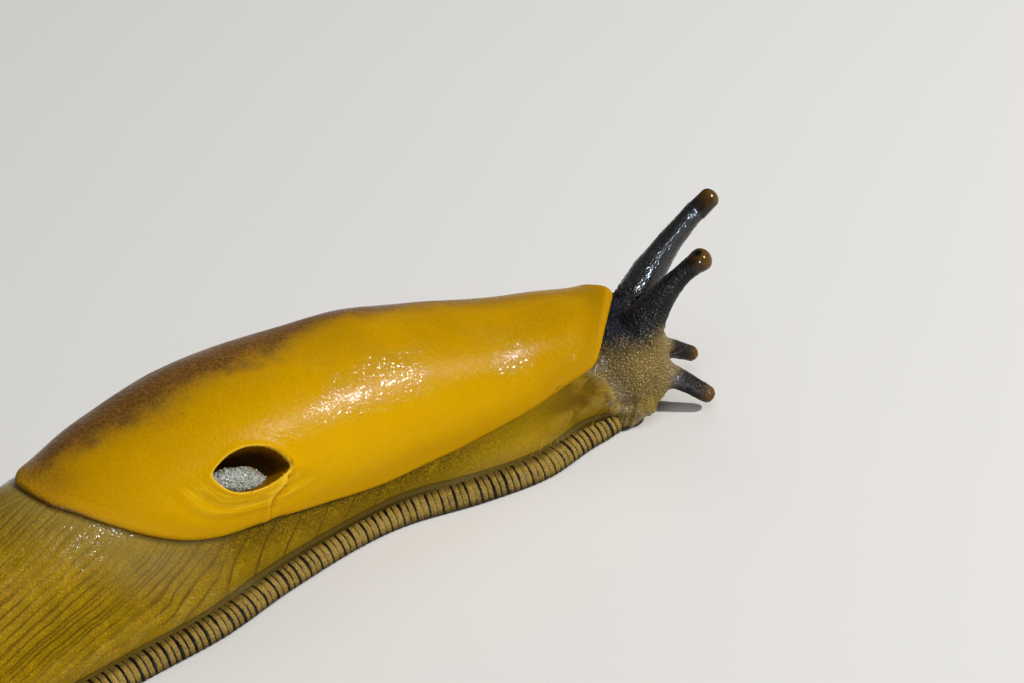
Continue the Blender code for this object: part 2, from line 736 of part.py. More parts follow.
def main():
    clear_scene()
    make_materials()
    lengths = {name: body_length(name, start, end) for name, start, end in BODY_LENGTHS}
    recess = make_recess()
    for name in ("neck", "trunk_front", "trunk_rear"):
        cut(lengths[name], recess)
    well = hole_prism("hole_well_cutter", 0.5, MANTLE_LIFT, MANTLE_LIFT - HOLE_DEPTH)
    cut(lengths["trunk_rear"], well)
    cut(lengths["tail_tip"], make_tail_pore())
    make_mantle()
    head = make_head()
    cut(head, recess)
    for feeler in UPPER_TENTACLES:
        make_upper_tentacle(feeler)
        make_eye(feeler)
    for feeler in LOWER_TENTACLES:
        make_lower_tentacle(feeler)
    make_sole("sole_front", SOLE_FRONT, SOLE_SPLIT - GAP / 2.0)
    make_sole("sole_rear", SOLE_SPLIT + GAP / 2.0, SOLE_REAR)
    for word, side in (("right", -1), ("left", 1)):
        make_fringe(f"fringe_front_{word}", side, FRINGE_FRONT, FRINGE_SPLIT - GAP / 2.0)
        make_fringe(f"fringe_rear_{word}", side, FRINGE_SPLIT + GAP / 2.0, LENGTH)


main()
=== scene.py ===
"""Banana slug, crawling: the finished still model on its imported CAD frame.

The body is a sweep along a midline that lies on the floor, as in the part's source. A place
on it is told by how far it is behind the snout and by its share of the way from the back's
midline (0) to the foot's upper edge (1 on the left side, -1 on the right side). Forms are
worked out in millimetres and become metres when a mesh is made.
"""
import math

import bmesh
import bpy
import numpy as np
from bpy.props import FloatProperty, FloatVectorProperty, IntProperty, PointerProperty
from mathutils import Matrix, Vector


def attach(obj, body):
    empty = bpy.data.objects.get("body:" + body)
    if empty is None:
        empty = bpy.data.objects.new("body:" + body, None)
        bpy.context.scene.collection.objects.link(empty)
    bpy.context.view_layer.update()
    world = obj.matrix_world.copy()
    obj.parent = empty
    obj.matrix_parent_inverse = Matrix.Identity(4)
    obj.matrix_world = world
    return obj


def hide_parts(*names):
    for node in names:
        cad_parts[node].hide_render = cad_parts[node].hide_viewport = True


bl_info = {
    "name": "Banana Slug",
    "version": (1, 0, 0),
    "blender": (4, 5, 0),
    "location": "View3D > Sidebar > Slug",
    "description": "Makes the skin, mantle, foot, eyes and stage of a still banana slug",
    "category": "Object",
}

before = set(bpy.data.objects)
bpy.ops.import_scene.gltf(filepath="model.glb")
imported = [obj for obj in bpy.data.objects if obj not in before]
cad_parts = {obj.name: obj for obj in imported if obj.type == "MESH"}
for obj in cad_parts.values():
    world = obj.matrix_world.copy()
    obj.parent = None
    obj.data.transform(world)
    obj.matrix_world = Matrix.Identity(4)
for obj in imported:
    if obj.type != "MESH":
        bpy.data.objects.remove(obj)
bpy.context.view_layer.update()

MM = 0.001

# The same driving sizes as the solids, in millimetres
LENGTH = 165.0
BODY_FLOOR = 1.5
FRINGE_INSET = 1.2
FRINGE_WIDE = 2.4
ORIGIN_BEHIND = 55.0
# Distance behind the snout, height of the back, half width of the foot, heading in degrees
STATIONS = np.array((
    (0.0, 4.9, 2.2, -35.0),
    (4.0, 8.9, 4.8, -30.0),
    (9.0, 10.1, 7.2, -23.5),
    (15.0, 10.9, 10.0, -16.0),
    (22.0, 12.5, 10.7, -12.0),
    (32.0, 14.2, 9.8, -4.0),
    (44.0, 15.2, 11.0, 2.0),
    (52.0, 14.33, 12.15, 4.63),
    (60.0, 13.1, 11.85, 6.5),
    (75.0, 11.7, 11.0, 8.3),
    (95.0, 11.1, 10.1, 6.0),
    (120.0, 9.6, 8.5, -2.0),
    (145.0, 6.9, 5.6, -9.0),
    (158.0, 4.6, 3.2, -11.0),
    (LENGTH, 2.3, 1.5, -12.0),
))

# The mantle's edge: distances behind the snout, and the share of the side that it covers
MANTLE_FRONT = 5.1
MANTLE_REAR = 60.7
MANTLE_CORNER = 10.6
MANTLE_LIFT = 0.7
# Towards its edge the mantle comes down to a soft round rim, which stands up in front, a
# little more than the solid's does
RIM_LIFT = 0.25
FRONT_LIFT_AT = (5.4, 7.5, 10.0, 14.0)
FRONT_LIFT = (1.2, 0.8, 0.55, RIM_LIFT)
RIM_REACH = 5.0
RIM_HALF = 0.5
MARGIN_AT = (10.6, 17.0, 24.0, 31.0, 38.0, 44.0, 49.4, 54.3, 58.0, 60.3)
MARGIN_SHARE = (0.605, 0.71, 0.805, 0.855, 0.81, 0.75, 0.685, 0.54, 0.345, 0.15)

# Rises of the mantle: place as (behind, down), half sizes, height
SHELL_HUMP = ((28.0, 1.0), (3.6, 5.0), 0.42)
FRONT_HUMP = ((5.3, -0.2), (1.7, 1.6), 0.5)

# The breathing hole and its slit, as (behind, down the right side). They are a little
# longer, lower and further forward than in the solids.
HOLE_AT = (44.7, 9.4)
HOLE_HALF = (3.68, 1.7)
HOLE_SKEW = 0.3
HOLE_TILT = math.radians(19.0)
HOLE_DEPTH = 3.6
SLIT_LINE = ((40.8, 9.9), (41.2, 10.9), (41.85, 11.9), (42.8, 12.45), (43.5, 12.75), (43.95, 13.4),
             (44.3, 14.1), (44.6, 14.8), (44.9, 15.5))
PALE_LINE = ((34.05, 0.97), (35.8, 3.1), (37.28, 5.19), (38.7, 6.8), (39.76, 8.0))

# Where the body's skin begins on the side of the head: share of the side, distance behind
COLLAR_SHARE = (0.0, 0.56, 0.61, 0.71, 0.79, 0.96, 1.0)
COLLAR_AT = (9.4, 9.0, 7.67, 6.83, 6.31, 5.88, 5.88)
# The collar's thin edge: distance back from its start, lift off the side
COLLAR_ROLL = ((0.5, -0.7), (0.2, -0.4), (0.05, -0.22), (0.0, -0.12), (0.1, -0.05), (0.3, -0.01),
               (0.6, 0.0), (1.0, 0.0), (1.5, 0.0))
COLLAR_END = 14.0

# The head: behind, bottom, top and half width of its rings, in its own frame
HEAD_RINGS = np.array((
    (0.68, 2.7, 4.7, 1.3),
    (0.85, 1.9, 5.6, 2.4),
    (1.25, 1.15, 6.5, 3.5),
    (2.0, 0.7, 7.5, 4.4),
    (3.1, 0.5, 8.4, 5.2),
    (4.1, 0.5, 8.85, 5.65),
    (4.7, 1.5, 9.05, 5.75),
    (5.85, 1.5, 9.35, 5.75),
    (7.4, 1.7, 9.2, 5.6),
))
HEAD_SQUARE = 2.3
HEAD_SQUARE_BELOW = 3.4
# Lobes beside the mouth and at the foot's front corners: centre, half sizes, turn outwards
LOBES = (
    ((-4.3, 3.9, 1.7), (2.5, 2.2, 1.3), 25.0),
    ((-5.0, 4.9, 0.8), (1.4, 1.2, 0.8), 40.0),
)
# Feelers: root, middle and tip (forward, left, up), and radii along them
UPPER_FEELERS = {
    "right": ((-3.3, -2.2, 7.2), (-0.5, -2.6, 11.7), (3.1, -3.2, 15.1), (2.2, 1.42, 0.88, 0.97)),
    "left": ((-3.5, 2.2, 7.2), (-0.6, 3.0, 12.15), (4.8, 4.7, 16.95), (2.1, 1.5, 1.03, 0.87)),
}
LOWER_FEELERS = {
    "right": ((-2.1, -1.9, 3.6), (0.4, -2.85, 2.6), (2.8, -3.5, 1.1), (1.4, 1.05, 0.85, 0.72)),
    "left": ((-2.1, 1.7, 3.7), (-0.1, 2.4, 2.85), (1.75, 3.0, 1.65), (1.25, 0.95, 0.78, 0.66)),
}
EYE_SHARE = 0.84
EYE_BULGE = 1.04
HEAD_VOXEL = 0.17
HEAD_FLOOR = 0.03
# The tail: where its end begins to round off, over what length, and its pore
TAIL_ROUND = 163.6
TAIL_ROUND_OVER = 1.42
TAIL_PORE = ((161.2, 0.0), (1.6, 0.55), 0.5)

FLESH_NODES = ("head", "neck", "trunk_front", "trunk_rear", "back", "tail_front", "tail_middle",
               "tail_tip", "upper_tentacle_right", "upper_tentacle_left", "lower_tentacle_right",
               "lower_tentacle_left")


# ---- Form ----

def smooth_curve(at, values, x):
    """Value at x of the smooth curve through the given values."""
    at = np.asarray(at, float)
    values = np.asarray(values, float)
    slopes = np.diff(values) / np.diff(at)
    tangent = np.concatenate([slopes[:1], (slopes[:-1] + slopes[1:]) / 2.0, slopes[-1:]])
    i = np.clip(np.searchsorted(at, x) - 1, 0, len(at) - 2)
    span = at[i + 1] - at[i]
    t = (x - at[i]) / span
    t2 = t * t
    t3 = t2 * t
    ends = (2 * t3 - 3 * t2 + 1) * values[i] + (3 * t2 - 2 * t3) * values[i + 1]
    return ends + ((t3 - 2 * t2 + t) * tangent[i] + (t3 - t2) * tangent[i + 1]) * span


def ramp(x, start, end):
    """Smooth rise from 0 at start to 1 at end, or fall where end is less than start."""
    t = np.clip((x - start) / (end - start), 0.0, 1.0)
    return t * t * (3.0 - 2.0 * t)


def bell(x, wide):
    """1 where x is 0, and less to both sides, with nothing left at about 2.5 widths."""
    return np.exp(-(x / wide) ** 2)


def mound(behind, down, rise):
    """A smooth rise on the skin, from its place, half sizes and height."""
    (at_behind, at_down), (long, high), height = rise
    return height * np.exp(-((behind - at_behind) / long) ** 2 - ((down - at_down) / high) ** 2)


def station(column, behind):
    return smooth_curve(STATIONS[:, 0], STATIONS[:, column], behind)


def trace_midline():
    behind = np.linspace(0.0, LENGTH, 661)
    heading = np.radians(station(3, behind))
    middle = (heading[1:] + heading[:-1]) / 2.0
    step = behind[1] - behind[0]
    x = -np.concatenate([[0.0], np.cumsum(np.cos(middle) * step)])
    y = -np.concatenate([[0.0], np.cumsum(np.sin(middle) * step)])
    x -= np.interp(ORIGIN_BEHIND, behind, x)
    y -= np.interp(ORIGIN_BEHIND, behind, y)
    return behind, x, y, heading


MIDLINE = trace_midline()


def on_floor(behind, left):
    """Floor points beside the midline."""
    at, xs, ys, headings = MIDLINE
    inside = np.clip(behind, 0.0, LENGTH)
    heading = np.interp(inside, at, headings)
    ahead = inside - behind
    x = np.interp(inside, at, xs) + np.cos(heading) * ahead - np.sin(heading) * left
    y = np.interp(inside, at, ys) + np.sin(heading) * ahead + np.cos(heading) * left
    return x, y


def half_contour(behind):
    """Left half of the body's section, from the back to the foot, with its running length."""
    height = station(1, behind)
    foot = station(2, behind) - FRINGE_INSET
    slender = 0.60 + 0.06 * ramp(behind, 50.0, 90.0)
    keel = 2.0 - 0.62 * ramp(behind, 38.0, 120.0)
    wide = height * slender
    waist = BODY_FLOOR + 0.33 * (height - BODY_FLOOR)
    upper = np.linspace(math.pi / 2.0, 0.0, 60)
    lower = np.linspace(0.0, math.pi / 2.0, 60)[1:]
    y = wide * np.clip(np.cos(upper), 0.0, 1.0) ** (2.0 / 2.1)
    z = waist + (height - waist) * np.sin(upper) ** (2.0 / keel)
    y = np.concatenate([y, foot + (wide - foot) * np.cos(lower)])
    z = np.concatenate([z, waist - (waist - BODY_FLOOR) * np.sin(lower)])
    run = np.concatenate([[0.0], np.cumsum(np.hypot(np.diff(y), np.diff(z)))])
    return y, z, run


SKIN_STEP = 0.25
SKIN_COLUMNS = 160


def skin_table():
    """Half sections all along the body: left, up, and the outward direction in each."""
    rows = []
    lengths = []
    for behind in np.arange(0.0, LENGTH + 0.1, SKIN_STEP):
        y, z, run = half_contour(behind)
        down = np.linspace(0.0, run[-1], SKIN_COLUMNS + 1)
        high = np.minimum(down + 0.25, run[-1])
        low = down - 0.25
        mirror = np.sign(low) + (low == 0.0)
        along_y = np.interp(high, run, y) - np.interp(np.abs(low), run, y) * mirror
        along_z = np.interp(high, run, z) - np.interp(np.abs(low), run, z)
        size = np.hypot(along_y, along_z)
        rows.append((np.interp(down, run, y), np.interp(down, run, z), -along_z / size, along_y / size))
        lengths.append(run[-1])
    return np.array(rows), np.array(lengths)


SKIN_TABLE, SIDE_LENGTHS = skin_table()


def side_length(behind):
    return np.interp(behind, np.arange(len(SIDE_LENGTHS)) * SKIN_STEP, SIDE_LENGTHS)


def on_skin(behind, share, lift=0.0):
    """Points on the body at shares of its side, lifted square to the section's outline."""
    row = np.clip(behind, 0.0, LENGTH) / SKIN_STEP
    column = np.clip(np.abs(share), 0.0, 1.0) * SKIN_COLUMNS
    i = np.minimum(row.astype(int), len(SKIN_TABLE) - 2)
    j = np.minimum(column.astype(int), SKIN_COLUMNS - 1)
    u = row - i
    v = column - j
    y, z, out_y, out_z = (
        (SKIN_TABLE[i, k, j] * (1 - v) + SKIN_TABLE[i, k, j + 1] * v) * (1 - u)
        + (SKIN_TABLE[i + 1, k, j] * (1 - v) + SKIN_TABLE[i + 1, k, j + 1] * v) * u
        for k in range(4))
    x, y = on_floor(behind, np.copysign(1.0, share) * (y + out_y * lift))
    return np.stack([x, y, z + out_z * lift], axis=-1)


def mantle_place(row, across):
    """Place on the mantle: row 0 at its front edge to 1 at its rear tip, across -1 to 1."""
    side = MANTLE_CORNER + row * (MARGIN_AT[-1] - MANTLE_CORNER)
    middle = MANTLE_FRONT + row * (MANTLE_REAR - MANTLE_FRONT)
    bow = 0.62 * (np.hypot(across, 0.06) - 0.06) / 0.942 + 0.38 * np.abs(across) ** 14
    bow = (1.0 - row) * bow + row * across * across
    behind = middle + (side - middle) * bow
    share = across * smooth_curve(MARGIN_AT, MARGIN_SHARE, side)
    return behind, share * side_length(behind)


def margin_line():
    """The mantle's edge down one side, as (behind, down)."""
    front = [mantle_place(0.0, across) for across in np.linspace(0.0, 1.0, 24)]
    side = [mantle_place(row, 1.0) for row in np.linspace(0.0, 1.0, 60)[1:]]
    rear = [mantle_place(1.0, across) for across in np.linspace(1.0, 0.0, 6)[1:]]
    return np.array(front + side + rear, float)


MARGIN = margin_line()


def line_distance(behind, down, line):
    """Distance to a line of places, and on which side of it a place is."""
    line = np.asarray(line, float)
    best = np.full(np.shape(behind), 1e9)
    side = np.ones(np.shape(behind))
    for start, end in zip(line[:-1], line[1:]):
        step = end - start
        bx = behind - start[0]
        by = down - start[1]
        t = np.clip((bx * step[0] + by * step[1]) / (step @ step), 0.0, 1.0)
        distance = np.hypot(bx - t * step[0], by - t * step[1])
        nearer = distance < best
        best = np.where(nearer, distance, best)
        side = np.where(nearer, np.sign(step[0] * by - step[1] * bx), side)
    return best, side


def beyond_mantle(behind, down):
    """Millimetres outside the mantle's edge, less than 0 under the mantle."""
    distance, _ = line_distance(behind, np.abs(down), MARGIN)
    at = np.clip(behind, MARGIN[:, 0].min(), MARGIN[:, 0].max())
    share = smooth_curve(MARGIN_AT, MARGIN_SHARE, np.clip(at, MARGIN_AT[0], MARGIN_AT[-1]))
    front = np.interp(np.abs(down), MARGIN[:24, 1], MARGIN[:24, 0])
    inside = (behind > front) & (behind < MANTLE_REAR) & (np.abs(down) < share * side_length(behind))
    return np.where(inside, -distance, distance)


def hole_place(behind, down):
    """Place in the breathing hole's own frame: 1 on its outline, 0 at its centre, and angle."""
    a = behind - HOLE_AT[0]
    b = down - HOLE_AT[1]
    along = a * math.cos(HOLE_TILT) - b * math.sin(HOLE_TILT)
    high = a * math.sin(HOLE_TILT) + b * math.cos(HOLE_TILT)
    along = (along - HOLE_SKEW * high) / HOLE_HALF[0]
    high = high / HOLE_HALF[1]
    pinch = np.ones(np.shape(behind))
    for _ in range(4):
        angle = np.arctan2(high / pinch, along)
        pinch = 1.0 - 0.45 * np.abs(np.cos(angle)) ** 3
    return np.hypot(along, high / pinch), angle


# ---- Texture of the form ----

def scatter(cell, seed):
    """Three steady random numbers from 0 to 1 for each whole-number cell."""
    key = (cell[:, 0] * 73856093) ^ (cell[:, 1] * 19349663) ^ (cell[:, 2] * 83492791) ^ (seed * 2654435)
    made = []
    for k in range(3):
        value = (key + k * 374761393) & 0x7FFFFFFF
        value = ((value >> 13) ^ value) * 1274126177 & 0x7FFFFFFF
        value = ((value >> 16) ^ value) * 668265263 & 0x7FFFFFFF
        made.append((value % 65536) / 65535.0)
    return np.stack(made, axis=1)


def pebbles(points, size, seed=1):
    """Rounded pebbles packed edge to edge: 1 on top of each, 0 in the net between them."""
    at = points / size
    cell = np.floor(at).astype(np.int64)
    first = np.full(len(points), 9.0)
    second = np.full(len(points), 9.0)
    for dx in (-1, 0, 1):
        for dy in (-1, 0, 1):
            for dz in (-1, 0, 1):
                near = cell + np.array((dx, dy, dz))
                distance = np.linalg.norm(near + scatter(near, seed) - at, axis=1)
                second = np.where(distance < first, first, np.minimum(second, distance))
                first = np.minimum(first, distance)
    return ramp(second - first, 0.04, 0.5)


def waves(points, size, seed=1):
    """Soft uneven waves of about the given size, from -1 to 1."""
    at = points / size
    cell = np.floor(at).astype(np.int64)
    t = at - cell
    t = t * t * (3.0 - 2.0 * t)
    total = np.zeros(len(points))
    for corner in range(8):
        step = np.array((corner & 1, corner >> 1 & 1, corner >> 2 & 1))
        weight = np.prod(np.where(step, t, 1.0 - t), axis=1)
        total += weight * scatter(cell + step, seed)[:, 0]
    return total * 2.0 - 1.0


def groove_tables():
    """How the grooves' count grows along the body and down its side."""
    at = np.arange(0.0, LENGTH + 1.0, 0.5)
    down_rate = np.interp(at, (0, 34, 50, 58, 62, 120, LENGTH), (0.16, 0.18, 0.35, 0.53, 0.56, 0.62, 0.9))
    back_rate = np.interp(at, (0, 34, 38, 50, 55, 60, 64, LENGTH),
                          (0.3, 0.42, 0.5, 0.5, 0.43, 0.12, 0.08, 0.1))
    return at, down_rate, np.cumsum(back_rate) * 0.5


GROOVES = groove_tables()
FINE_GROOVES = 2.2


def groove_count(behind, down, points):
    """Number of grooves between the top of the neck and a place, so whole numbers are grooves."""
    at, down_rate, back_count = GROOVES
    count = np.abs(down) * np.interp(behind, at, down_rate) - np.interp(behind, at, back_count)
    return count + 0.18 * waves(points, 5.0, 3) + 0.09 * waves(points, 1.9, 4) + 0.03 * waves(points, 0.8, 5)


def between(count):
    """0 in a groove to 1 half way to the next."""
    return np.abs((count % 1.0) - 0.5) * -2.0 + 1.0


# ---- Meshes ----

def turn_faces_out(mesh):
    work = bmesh.new()
    work.from_mesh(mesh)
    bmesh.ops.recalc_face_normals(work, faces=work.faces)
    work.to_mesh(mesh)
    work.free()


def read_out(rows, name, wide, kind=np.float32):
    """A property of a mesh's points or edges, one row for each."""
    values = np.empty(len(rows) * wide, kind)
    rows.foreach_get(name, values)
    return values.reshape(-1, wide)


def finish_mesh(name, points, faces, marks=None, turn_out=True):
    """Mesh in metres with smooth faces turned out, and a value per point for each mark."""
    mesh = bpy.data.meshes.new(name)
    mesh.from_pydata((np.asarray(points, float) * MM).tolist(), [], faces)
    if turn_out:
        turn_faces_out(mesh)
    for mark, values in (marks or {}).items():
        layer = mesh.attributes.new(mark, "FLOAT", "POINT")
        layer.data.foreach_set("value", np.asarray(values, np.float32).ravel())
    mesh.shade_smooth()
    return mesh


def show(name, mesh, *materials):
    thing = bpy.data.objects.new(name, mesh)
    bpy.context.scene.collection.objects.link(thing)
    for material in materials:
        mesh.materials.append(material)
    return thing


def declare(piece, slot, *nodes):
    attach(piece, "root")
    if nodes:
        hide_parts(*nodes)


def grid_faces(rows, columns, closed=False):
    """Faces of a grid of points, also from its last column to its first where it is closed."""
    across = columns if closed else columns - 1
    i, j = np.meshgrid(np.arange(rows - 1), np.arange(across), indexing="ij")
    k = (j + 1) % columns
    corners = (i * columns + j, i * columns + k, (i + 1) * columns + k, (i + 1) * columns + j)
    return np.stack(corners, axis=-1).reshape(-1, 4).tolist()


def made_flat(thing):
    """The object's mesh with its modifiers worked in, as a plain mesh."""
    bpy.context.view_layer.update()
    seen = thing.evaluated_get(bpy.context.evaluated_depsgraph_get())
    return bpy.data.meshes.new_from_object(seen)


# ---- Skin ----

def body_rows():
    """Distances behind the snout of the body's rings, behind the collar."""
    return np.concatenate([
        np.arange(COLLAR_END, 34.0, 0.55),
        np.arange(34.0, 66.0, 0.33),
        np.arange(66.0, 163.4, 0.5),
        np.array((163.8, 164.2, 164.5, 164.7, 164.85, 164.95, 165.0)),
    ])


def body_grid():
    """Places of the body's skin: distance behind, share of the side, and the collar's lift."""
    shares = np.linspace(-1.0, 1.0, 161)
    start = np.interp(np.abs(shares), COLLAR_SHARE, COLLAR_AT)
    rows = [(start + back, np.full(shares.shape, lift)) for back, lift in COLLAR_ROLL]
    first = start + COLLAR_ROLL[-1][0]
    for t in np.linspace(0.0, 1.0, 16)[1:-1]:
        rows.append((first + (COLLAR_END - first) * t, np.zeros(shares.shape)))
    for behind in body_rows():
        rows.append((np.full(shares.shape, behind), np.zeros(shares.shape)))
    behind = np.array([row[0] for row in rows])
    lift = np.array([row[1] for row in rows])
    return behind, np.broadcast_to(shares, behind.shape), lift


def body_relief(behind, share, points, depth):
    """Lift of the skin: grooves, fine folds, the dip below the mantle's edge and the hole."""
    down = share * side_length(behind)
    outside = beyond_mantle(behind, down)
    count = groove_count(behind, down, points)
    fine = ramp(behind, 44.0, 54.0)
    bite = bell(between(count), 0.2) * (0.35 + 0.25 * fine)
    bite += bell(between(count * FINE_GROOVES), 0.42) * 0.6 * fine
    keep = ramp(behind, 24.0, 38.0) * ramp(np.abs(share), 0.02, 0.1) * ramp(np.abs(share), 0.98, 0.9)
    keep = keep * ramp(behind, 163.0, 155.0) * (0.3 + 0.7 * ramp(outside, 0.5, 4.0))
    lift = -depth * bite * keep
    lift += 0.05 * waves(points, 1.3, 7) * ramp(behind, 30.0, 50.0) * ramp(behind, 164.0, 158.0)
    lift += 0.12 * waves(points, 4.5, 8) * ramp(behind, 50.0, 64.0) * ramp(behind, 160.0, 150.0)
    lift -= 0.07 * bell(outside, 0.4) * ramp(behind, 20.0, 36.0)
    lift = np.where(outside < -0.8, -0.5, lift)
    pit = (((behind - HOLE_AT[0]) / 5.1) ** 2 + ((-down - HOLE_AT[1]) / 3.3) ** 2)
    lift -= 5.0 * ramp(pit, 1.25, 0.8) * (share < 0.0)
    lift -= mound(behind, down, TAIL_PORE)
    return lift, count, outside


def body_shell(settings):
    """Points, faces and marks of the body's skin, closed below and at both ends."""
    behind, share, roll = body_grid()
    rows, columns = behind.shape
    flat_behind = behind.ravel()
    flat_share = share.ravel()
    smooth = on_skin(flat_behind, flat_share)
    relief, count, outside = body_relief(flat_behind, flat_share, smooth, settings.groove_depth / MM)
    points = on_skin(flat_behind, flat_share, relief + roll.ravel()).reshape(rows, columns, 3)
    past = np.clip((behind[:, 0] - TAIL_ROUND) / TAIL_ROUND_OVER, 0.0, 1.0)
    close = np.sqrt(np.clip(1.0 - past ** 2, 0.0, 1.0))
    x, y = on_floor(behind[:, 0], 0.0)
    core = np.stack([x, y, np.full(rows, BODY_FLOOR)], axis=1)[:, None, :]
    points = core + (points - core) * close[:, None, None]
    foot = (station(2, behind[:, 0]) - 2.2) * close
    below = []
    for side in (0.85, 0.0, -0.85):
        x, y = on_floor(behind[:, 0], foot * side)
        below.append(np.stack([x, y, np.full(rows, 0.7)], axis=1))
    below = np.stack(below, axis=1)
    grid = np.concatenate([points, below], axis=1)
    wide = columns + 3
    faces = grid_faces(rows, wide, closed=True)
    faces.append(list(range(wide - 1, -1, -1)))
    faces.append(list(range((rows - 1) * wide, rows * wide)))
    length = side_length(behind)
    marks = {
        "groove_count": count.reshape(rows, columns),
        "from_head": behind - np.interp(np.abs(share), COLLAR_SHARE, COLLAR_AT),
        "above_foot": length * (1.0 - np.abs(share)),
        "beyond_mantle": outside.reshape(rows, columns),
        "behind": behind,
        "share": share,
    }
    for name, values in marks.items():
        edge = np.repeat(values[:, -1:], 3, axis=1)
        marks[name] = np.concatenate([values, edge], axis=1).ravel()
    return grid.reshape(-1, 3), faces, marks


def head_straight(forward, left, up):
    """Points of the head's own frame, which keeps the snout's heading."""
    heading = MIDLINE[3][0]
    x, y = on_floor(0.0, 0.0)
    return np.stack([x + forward * math.cos(heading) - left * math.sin(heading),
                     y + forward * math.sin(heading) + left * math.cos(heading),
                     up + forward * 0.0], axis=-1)


def in_head(points):
    """The head's own (forward, left, up) of points."""
    heading = MIDLINE[3][0]
    x, y = on_floor(0.0, 0.0)
    dx = points[:, 0] - x
    dy = points[:, 1] - y
    return np.stack([dx * math.cos(heading) + dy * math.sin(heading),
                     dy * math.cos(heading) - dx * math.sin(heading), points[:, 2]], axis=1)


def tube(rings):
    """Points and faces of a closed tube through rings of points."""
    count = len(rings[0])
    faces = grid_faces(len(rings), count, closed=True)
    faces.append(list(range(count - 1, -1, -1)))
    last = (len(rings) - 1) * count
    faces.append(list(range(last, last + count)))
    return np.concatenate(rings), faces


def feeler_point(feeler, t):
    root, middle, tip = (np.array(place) for place in feeler[:3])
    handle = 2.0 * middle - (root + tip) / 2.0
    return (1 - t) ** 2 * root + 2 * t * (1 - t) * handle + t * t * tip


def feeler_radius(feeler, t):
    return float(smooth_curve((0.0, 0.35, 0.7, 1.0), feeler[3], t))


def feeler_frame(feeler, t):
    along = feeler_point(feeler, min(t + 0.02, 1.0)) - feeler_point(feeler, max(t - 0.02, 0.0))
    along /= np.linalg.norm(along)
    side = np.cross(along, (0.0, 0.0, 1.0))
    side /= np.linalg.norm(side)
    return along, side, np.cross(side, along)


def feeler_ring(feeler, t, radius, ahead=0.0, sides=28):
    along, side, over = feeler_frame(feeler, t)
    centre = feeler_point(feeler, t) + along * ahead
    angle = np.linspace(0.0, 2.0 * math.pi, sides, endpoint=False)[:, None]
    ring = centre + (side * np.cos(angle) + over * np.sin(angle)) * radius
    return head_straight(ring[:, 0], ring[:, 1], ring[:, 2])


def feeler_tube(feeler, end, reach):
    """A feeler with a round end of the given reach."""
    rings = [feeler_ring(feeler, t, feeler_radius(feeler, t)) for t in np.linspace(0.0, end, 30)]
    radius = feeler_radius(feeler, end)
    for angle in np.linspace(0.0, math.pi / 2.0, 8)[1:-1]:
        rings.append(feeler_ring(feeler, end, radius * math.cos(angle), reach * math.sin(angle)))
    return tube(rings)


def head_forms():
    """Closed forms whose union is the head: its block, the neck, lips and feelers."""
    rings = []
    angle = np.linspace(0.0, 2.0 * math.pi, 64, endpoint=False)
    for behind in np.concatenate([(0.68, 0.74, 0.85, 1.0, 1.25), np.arange(1.6, 7.41, 0.45)]):
        bottom, top, wide = (smooth_curve(HEAD_RINGS[:, 0], HEAD_RINGS[:, k], behind) for k in (1, 2, 3))
        power = np.where(np.sin(angle) >= 0.0, 2.0 / HEAD_SQUARE, 2.0 / HEAD_SQUARE_BELOW)
        left = wide * np.copysign(np.abs(np.cos(angle)) ** power, np.cos(angle))
        up = (top + bottom) / 2.0 + (top - bottom) / 2.0 * np.copysign(
            np.abs(np.sin(angle)) ** power, np.sin(angle))
        x, y = on_floor(behind, left)
        rings.append(np.stack([x, y, up], axis=1))
    forms = [tube(rings)]
    share = np.linspace(-1.0, 1.0, 61)
    rings = []
    for behind in np.linspace(5.0, 12.0, 18):
        sunk = -0.04 - 0.4 * max(behind - 9.6, 0.0) - max(6.2 - behind, 0.0) ** 2
        rings.append(on_skin(np.full(len(share), behind), share, sunk))
    forms.append(tube(rings))
    for side in (-1, 1):
        for centre, half, turned in LOBES:
            turn = math.radians(turned * side)
            mesh = []
            for tilt in np.linspace(-math.pi / 2.0 + 0.05, math.pi / 2.0 - 0.05, 20):
                x = half[0] * math.cos(tilt) * np.cos(angle)
                y = half[1] * math.cos(tilt) * np.sin(angle)
                forward = centre[0] + x * math.cos(turn) - y * math.sin(turn)
                left = centre[1] * side + x * math.sin(turn) + y * math.cos(turn)
                up = np.full(angle.shape, centre[2] + half[2] * math.sin(tilt))
                mesh.append(head_straight(forward, left, up))
            forms.append(tube(mesh))
    for feeler in UPPER_FEELERS.values():
        forms.append(feeler_tube(feeler, EYE_SHARE + 0.02, 0.3))
    for feeler in LOWER_FEELERS.values():
        forms.append(feeler_tube(feeler, 0.9, 0.62))
    return forms


def relax(points, edges, weight, rounds):
    """Evens out points towards their neighbours, by a weight for each point."""
    count = np.zeros(len(points))
    np.add.at(count, edges[:, 0], 1.0)
    np.add.at(count, edges[:, 1], 1.0)
    for _ in range(rounds):
        total = np.zeros_like(points)
        for k in range(3):
            total[:, k] = (np.bincount(edges[:, 0], points[edges[:, 1], k], len(points))
                           + np.bincount(edges[:, 1], points[edges[:, 0], k], len(points)))
        points = points + (total / count[:, None] - points) * weight[:, None]
    return points


def nearest_feeler(place, feelers, end=1.0):
    """How far each place is from the side of the nearest feeler, and how far along it is."""
    best = np.full(len(place), 1e9)
    share = np.zeros(len(place))
    for feeler in feelers.values():
        for t in np.linspace(0.0, end, 40):
            distance = np.linalg.norm(place - feeler_point(feeler, t), axis=1) - feeler_radius(feeler, t)
            nearer = distance < best
            best = np.where(nearer, distance, best)
            share = np.where(nearer, t, share)
    return best, share


